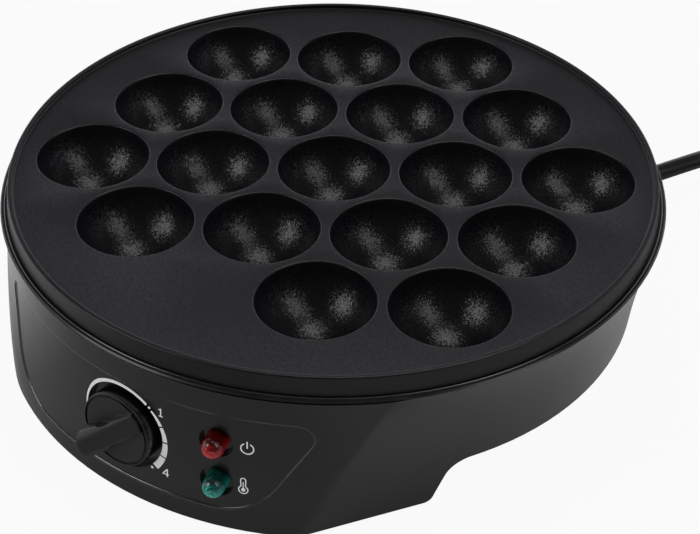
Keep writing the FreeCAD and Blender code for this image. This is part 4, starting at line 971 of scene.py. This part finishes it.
def build_world(looks):
    """Studio room: white round the horizon, dark above and on the camera's side."""
    world = bpy.data.worlds.new("studio")
    bpy.context.scene.world = world
    finish = Finish("studio", world)
    _, _, rise = finish.parts(finish.place)
    camera_side = (0.44, -0.65, 0.61)
    ahead = finish.vector("DOT_PRODUCT", {0: finish.place, 1: camera_side}, "Value")
    bright = (1 - rise.over(0.16, 0.61)) * (1 - ahead.over(0.05, 0.45))
    room = finish.blend(bright, (looks.ceiling,) * 3, (0.93, 0.92, 1.0))
    light = finish.node("ShaderNodeBackground", None, {"Color": room, "Strength": 1.2})
    white = finish.node("ShaderNodeBackground", None, {"Color": (1.0, 1.0, 1.0, 1.0), "Strength": 1.0})
    seen = finish.node("ShaderNodeLightPath", output="Is Camera Ray")
    finish.close(finish.node("ShaderNodeMixShader", None, {0: seen, 1: light, 2: white}),
                 "ShaderNodeOutputWorld")


def build_lights(looks):
    """Overhead, right-hand and front-left softboxes that look at the cooker."""
    for name, towards, size, power in SOFTBOXES:
        data = bpy.data.lights.new(name, "AREA")
        data.shape = "RECTANGLE"
        data.size, data.size_y = size
        data.energy = getattr(looks, power)
        spot = SOFTBOX_AIM + Vector(towards).normalized() * SOFTBOX_DISTANCE
        turn = (SOFTBOX_AIM - spot).to_track_quat("-Z", "Y").to_matrix().to_4x4()
        add_object(name, data).matrix_world = Matrix.Translation(spot) @ turn


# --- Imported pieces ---

GROUPS = {
    "housing": ("housing", "trim_ring", "base_cover"),
    "knob": ("knob", "thermostat_spindle", "knob_clip"),
    "lamps": ("red_lens", "green_lens", "red_lamp", "green_lamp", "red_nut", "green_nut"),
    "under": ("base_screws", "plate_screws", "foot_front_left", "foot_front_right", "foot_rear_left",
              "foot_rear_right"),
    "inside": ("heat_shield", "heating_element", "heater_cradles", "thermal_fuse", "fuse_clip",
               "shield_rivets", "thermostat_body", "thermostat_bracket", "thermostat_screws",
               "terminal_block", "terminal_screws", "cord_tail", "cord_clamp", "clamp_screws", "plug_pins"),
}
RESHADED = {"trim_ring": "ring_plastic"}  # nodes whose finish differs from that of their slot


def slot_of(node):
    """The record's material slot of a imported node."""
    for row in frame["record"]["subparts"]:
        if row["node"] == node:
            return row["material_slot"]
    raise RuntimeError(f"the packed record gives {node} no material")


def dress(group):
    """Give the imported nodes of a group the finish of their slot."""
    for name in GROUPS[group]:
        piece = NODES[name]
        slot = slot_of(name)
        piece.data.materials.clear()
        piece.data.materials.append(SLOT_FINISHES[RESHADED.get(name, slot)])


# --- Settings, operators and panel ---

class TakoyakiLooks(bpy.types.PropertyGroup):
    """Sizes, colours and lights that a user would change."""

    plate_level: FloatProperty(
        name="Plate level", description="Height of the cooking surface", default=0.064, unit="LENGTH")
    cup_pitch: FloatProperty(
        name="Cup pitch", description="Distance between neighbouring cups", default=0.0432, unit="LENGTH")
    plate_turn: FloatProperty(
        name="Plate turn", description="Turn of the cup pattern, in degrees", default=0.6)
    rim_softness: FloatProperty(
        name="Rim softness", description="Rounding of the cups' rims", default=0.0006, unit="LENGTH")
    panel_edge: FloatProperty(
        name="Panel edge", description="Rounding of the panel's edge", default=0.0007, unit="LENGTH")
    edge_softness: FloatProperty(
        name="Edge softness", description="Rounding of moulded edges", default=0.0005, unit="LENGTH")
    coating_grain: FloatProperty(
        name="Coating grain", description="Size of the coating's pebbles", default=0.00044, unit="LENGTH")
    lead_radius: FloatProperty(
        name="Lead radius", description="Radius of the mains lead", default=0.0034, unit="LENGTH")
    lead_length: FloatProperty(
        name="Lead length", description="Length of the free lead", default=0.95, unit="LENGTH")
    plastic_colour: FloatVectorProperty(
        name="Housing", description="Colour of the housing plastic",
        default=(0.0060, 0.0060, 0.0062), subtype="COLOR")
    coating_colour: FloatVectorProperty(
        name="Coating", description="Colour of the plate's coating",
        default=(0.0054, 0.0051, 0.0070), subtype="COLOR")
    knob_colour: FloatVectorProperty(
        name="Knob", description="Colour of the knob", default=(0.0130, 0.0130, 0.0130), subtype="COLOR")
    lead_colour: FloatVectorProperty(
        name="Lead", description="Colour of the lead and plug",
        default=(0.0045, 0.0045, 0.0047), subtype="COLOR")
    red_colour: FloatVectorProperty(
        name="Red lens", description="Colour of the power lens",
        default=(0.62, 0.012, 0.016), subtype="COLOR")
    green_colour: FloatVectorProperty(
        name="Green lens", description="Colour of the ready lens",
        default=(0.02, 0.46, 0.36), subtype="COLOR")
    ink_colour: FloatVectorProperty(
        name="Print", description="Colour of the dial print", default=(0.93, 0.94, 0.95), subtype="COLOR")
    lens: FloatProperty(
        name="Lens", description="Focal length of the camera", default=91.01)
    roll: FloatProperty(
        name="Roll", description="Roll of the camera, in degrees", default=0.70)
    camera_place: FloatVectorProperty(
        name="Camera", description="Place of the camera",
        default=(0.29665, -0.42382, 0.4226), subtype="TRANSLATION")
    floor_lift: FloatProperty(
        name="Floor lift", description="How far the seen floor turns white", default=0.94)
    ceiling: FloatProperty(
        name="Ceiling", description="Light of the room above the softboxes", default=0.05)
    overhead_power: FloatProperty(
        name="Overhead", description="Power of the overhead softbox", default=5.1, unit="POWER")
    right_power: FloatProperty(
        name="Right", description="Power of the right softbox", default=4.7, unit="POWER")
    front_power: FloatProperty(
        name="Front left", description="Power of the front-left softbox", default=5.6, unit="POWER")


class MakeOperator:
    """Shared body of the operators: run the steps with the settings, and finish."""

    bl_options = {"REGISTER", "UNDO"}

    def execute(self, context):
        self.make(context.scene.takoyaki_looks)
        return {"FINISHED"}


class TAKOYAKI_OT_stage(MakeOperator, bpy.types.Operator):
    """Make the camera, floor, surroundings and softboxes."""

    bl_idname = "takoyaki.stage"
    bl_label = "Stage"

    def make(self, looks):
        build_camera(looks)
        build_floor(looks)
        build_world(looks)
        build_lights(looks)


class TAKOYAKI_OT_finishes(MakeOperator, bpy.types.Operator):
    """Make the finishes."""

    bl_idname = "takoyaki.finishes"
    bl_label = "Finishes"

    def make(self, looks):
        make_finishes(looks)


class TAKOYAKI_OT_lead(MakeOperator, bpy.types.Operator):
    """Make the mains lead, its strain relief and its plug."""

    bl_idname = "takoyaki.lead"
    bl_label = "Mains lead and plug"

    def make(self, looks):
        lead = build_lead(looks)
        build_strain_relief()
        build_plug()


class TAKOYAKI_OT_plate(MakeOperator, bpy.types.Operator):
    """Make the coated cooking plate with its cups."""

    bl_idname = "takoyaki.plate"
    bl_label = "Cooking plate"

    def make(self, looks):
        build_cooking_plate(looks)


class TAKOYAKI_OT_housing(MakeOperator, bpy.types.Operator):
    """Dress the housing, trim ring and base cover, and add the panel's edge and the ring's bead."""

    bl_idname = "takoyaki.housing"
    bl_label = "Housing"

    def make(self, looks):
        dress("housing")
        build_panel_edge(looks)
        build_ring_bead()


class TAKOYAKI_OT_print(MakeOperator, bpy.types.Operator):
    """Print the dial scale and the pictograms on the panel."""

    bl_idname = "takoyaki.dial_print"
    bl_label = "Dial print"

    def make(self, looks):
        build_dial_print()


class TAKOYAKI_OT_knob(MakeOperator, bpy.types.Operator):
    """Dress the knob with its spindle and clip."""

    bl_idname = "takoyaki.knob"
    bl_label = "Knob"

    def make(self, looks):
        dress("knob")


class TAKOYAKI_OT_lamps(MakeOperator, bpy.types.Operator):
    """Dress the indicator lenses, lamps and nuts."""

    bl_idname = "takoyaki.lamps"
    bl_label = "Indicator lamps"

    def make(self, looks):
        dress("lamps")


class TAKOYAKI_OT_underside(MakeOperator, bpy.types.Operator):
    """Dress the feet and the screws of the underside."""

    bl_idname = "takoyaki.underside"
    bl_label = "Feet and screws"

    def make(self, looks):
        dress("under")


class TAKOYAKI_OT_inside(MakeOperator, bpy.types.Operator):
    """Dress the heater, thermostat, fuse and mains fittings."""

    bl_idname = "takoyaki.inside"
    bl_label = "Heater and fittings"

    def make(self, looks):
        dress("inside")


OPERATORS = (
    TAKOYAKI_OT_stage, TAKOYAKI_OT_finishes, TAKOYAKI_OT_lead, TAKOYAKI_OT_plate, TAKOYAKI_OT_housing,
    TAKOYAKI_OT_print, TAKOYAKI_OT_knob, TAKOYAKI_OT_lamps, TAKOYAKI_OT_underside, TAKOYAKI_OT_inside,
)


class TAKOYAKI_PT_looks(bpy.types.Panel):
    """Lists the pieces of the takoyaki maker and their settings."""

    bl_label = "Takoyaki maker"
    bl_idname = "TAKOYAKI_PT_looks"
    bl_space_type = "VIEW_3D"
    bl_region_type = "UI"
    bl_category = "Takoyaki maker"

    def draw(self, context):
        looks = context.scene.takoyaki_looks
        for operator in OPERATORS:
            self.layout.operator(operator.bl_idname)
        for key in TakoyakiLooks.__annotations__:
            self.layout.prop(looks, key)


CLASSES = (TakoyakiLooks, *OPERATORS, TAKOYAKI_PT_looks)


def register():
    for cls in CLASSES:
        bpy.utils.register_class(cls)
    bpy.types.Scene.takoyaki_looks = PointerProperty(type=TakoyakiLooks)


def unregister():
    del bpy.types.Scene.takoyaki_looks
    for cls in reversed(CLASSES):
        bpy.utils.unregister_class(cls)


def main():
    """Register the add-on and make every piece."""
    register()
    bpy.context.scene.view_settings.view_transform = "Standard"
    bpy.ops.takoyaki.stage()
    bpy.ops.takoyaki.finishes()
    bpy.ops.takoyaki.lead()
    bpy.ops.takoyaki.plate()
    bpy.ops.takoyaki.housing()
    bpy.ops.takoyaki.dial_print()
    bpy.ops.takoyaki.knob()
    bpy.ops.takoyaki.lamps()
    bpy.ops.takoyaki.underside()
    bpy.ops.takoyaki.inside()


if __name__ == "__main__":
    main()
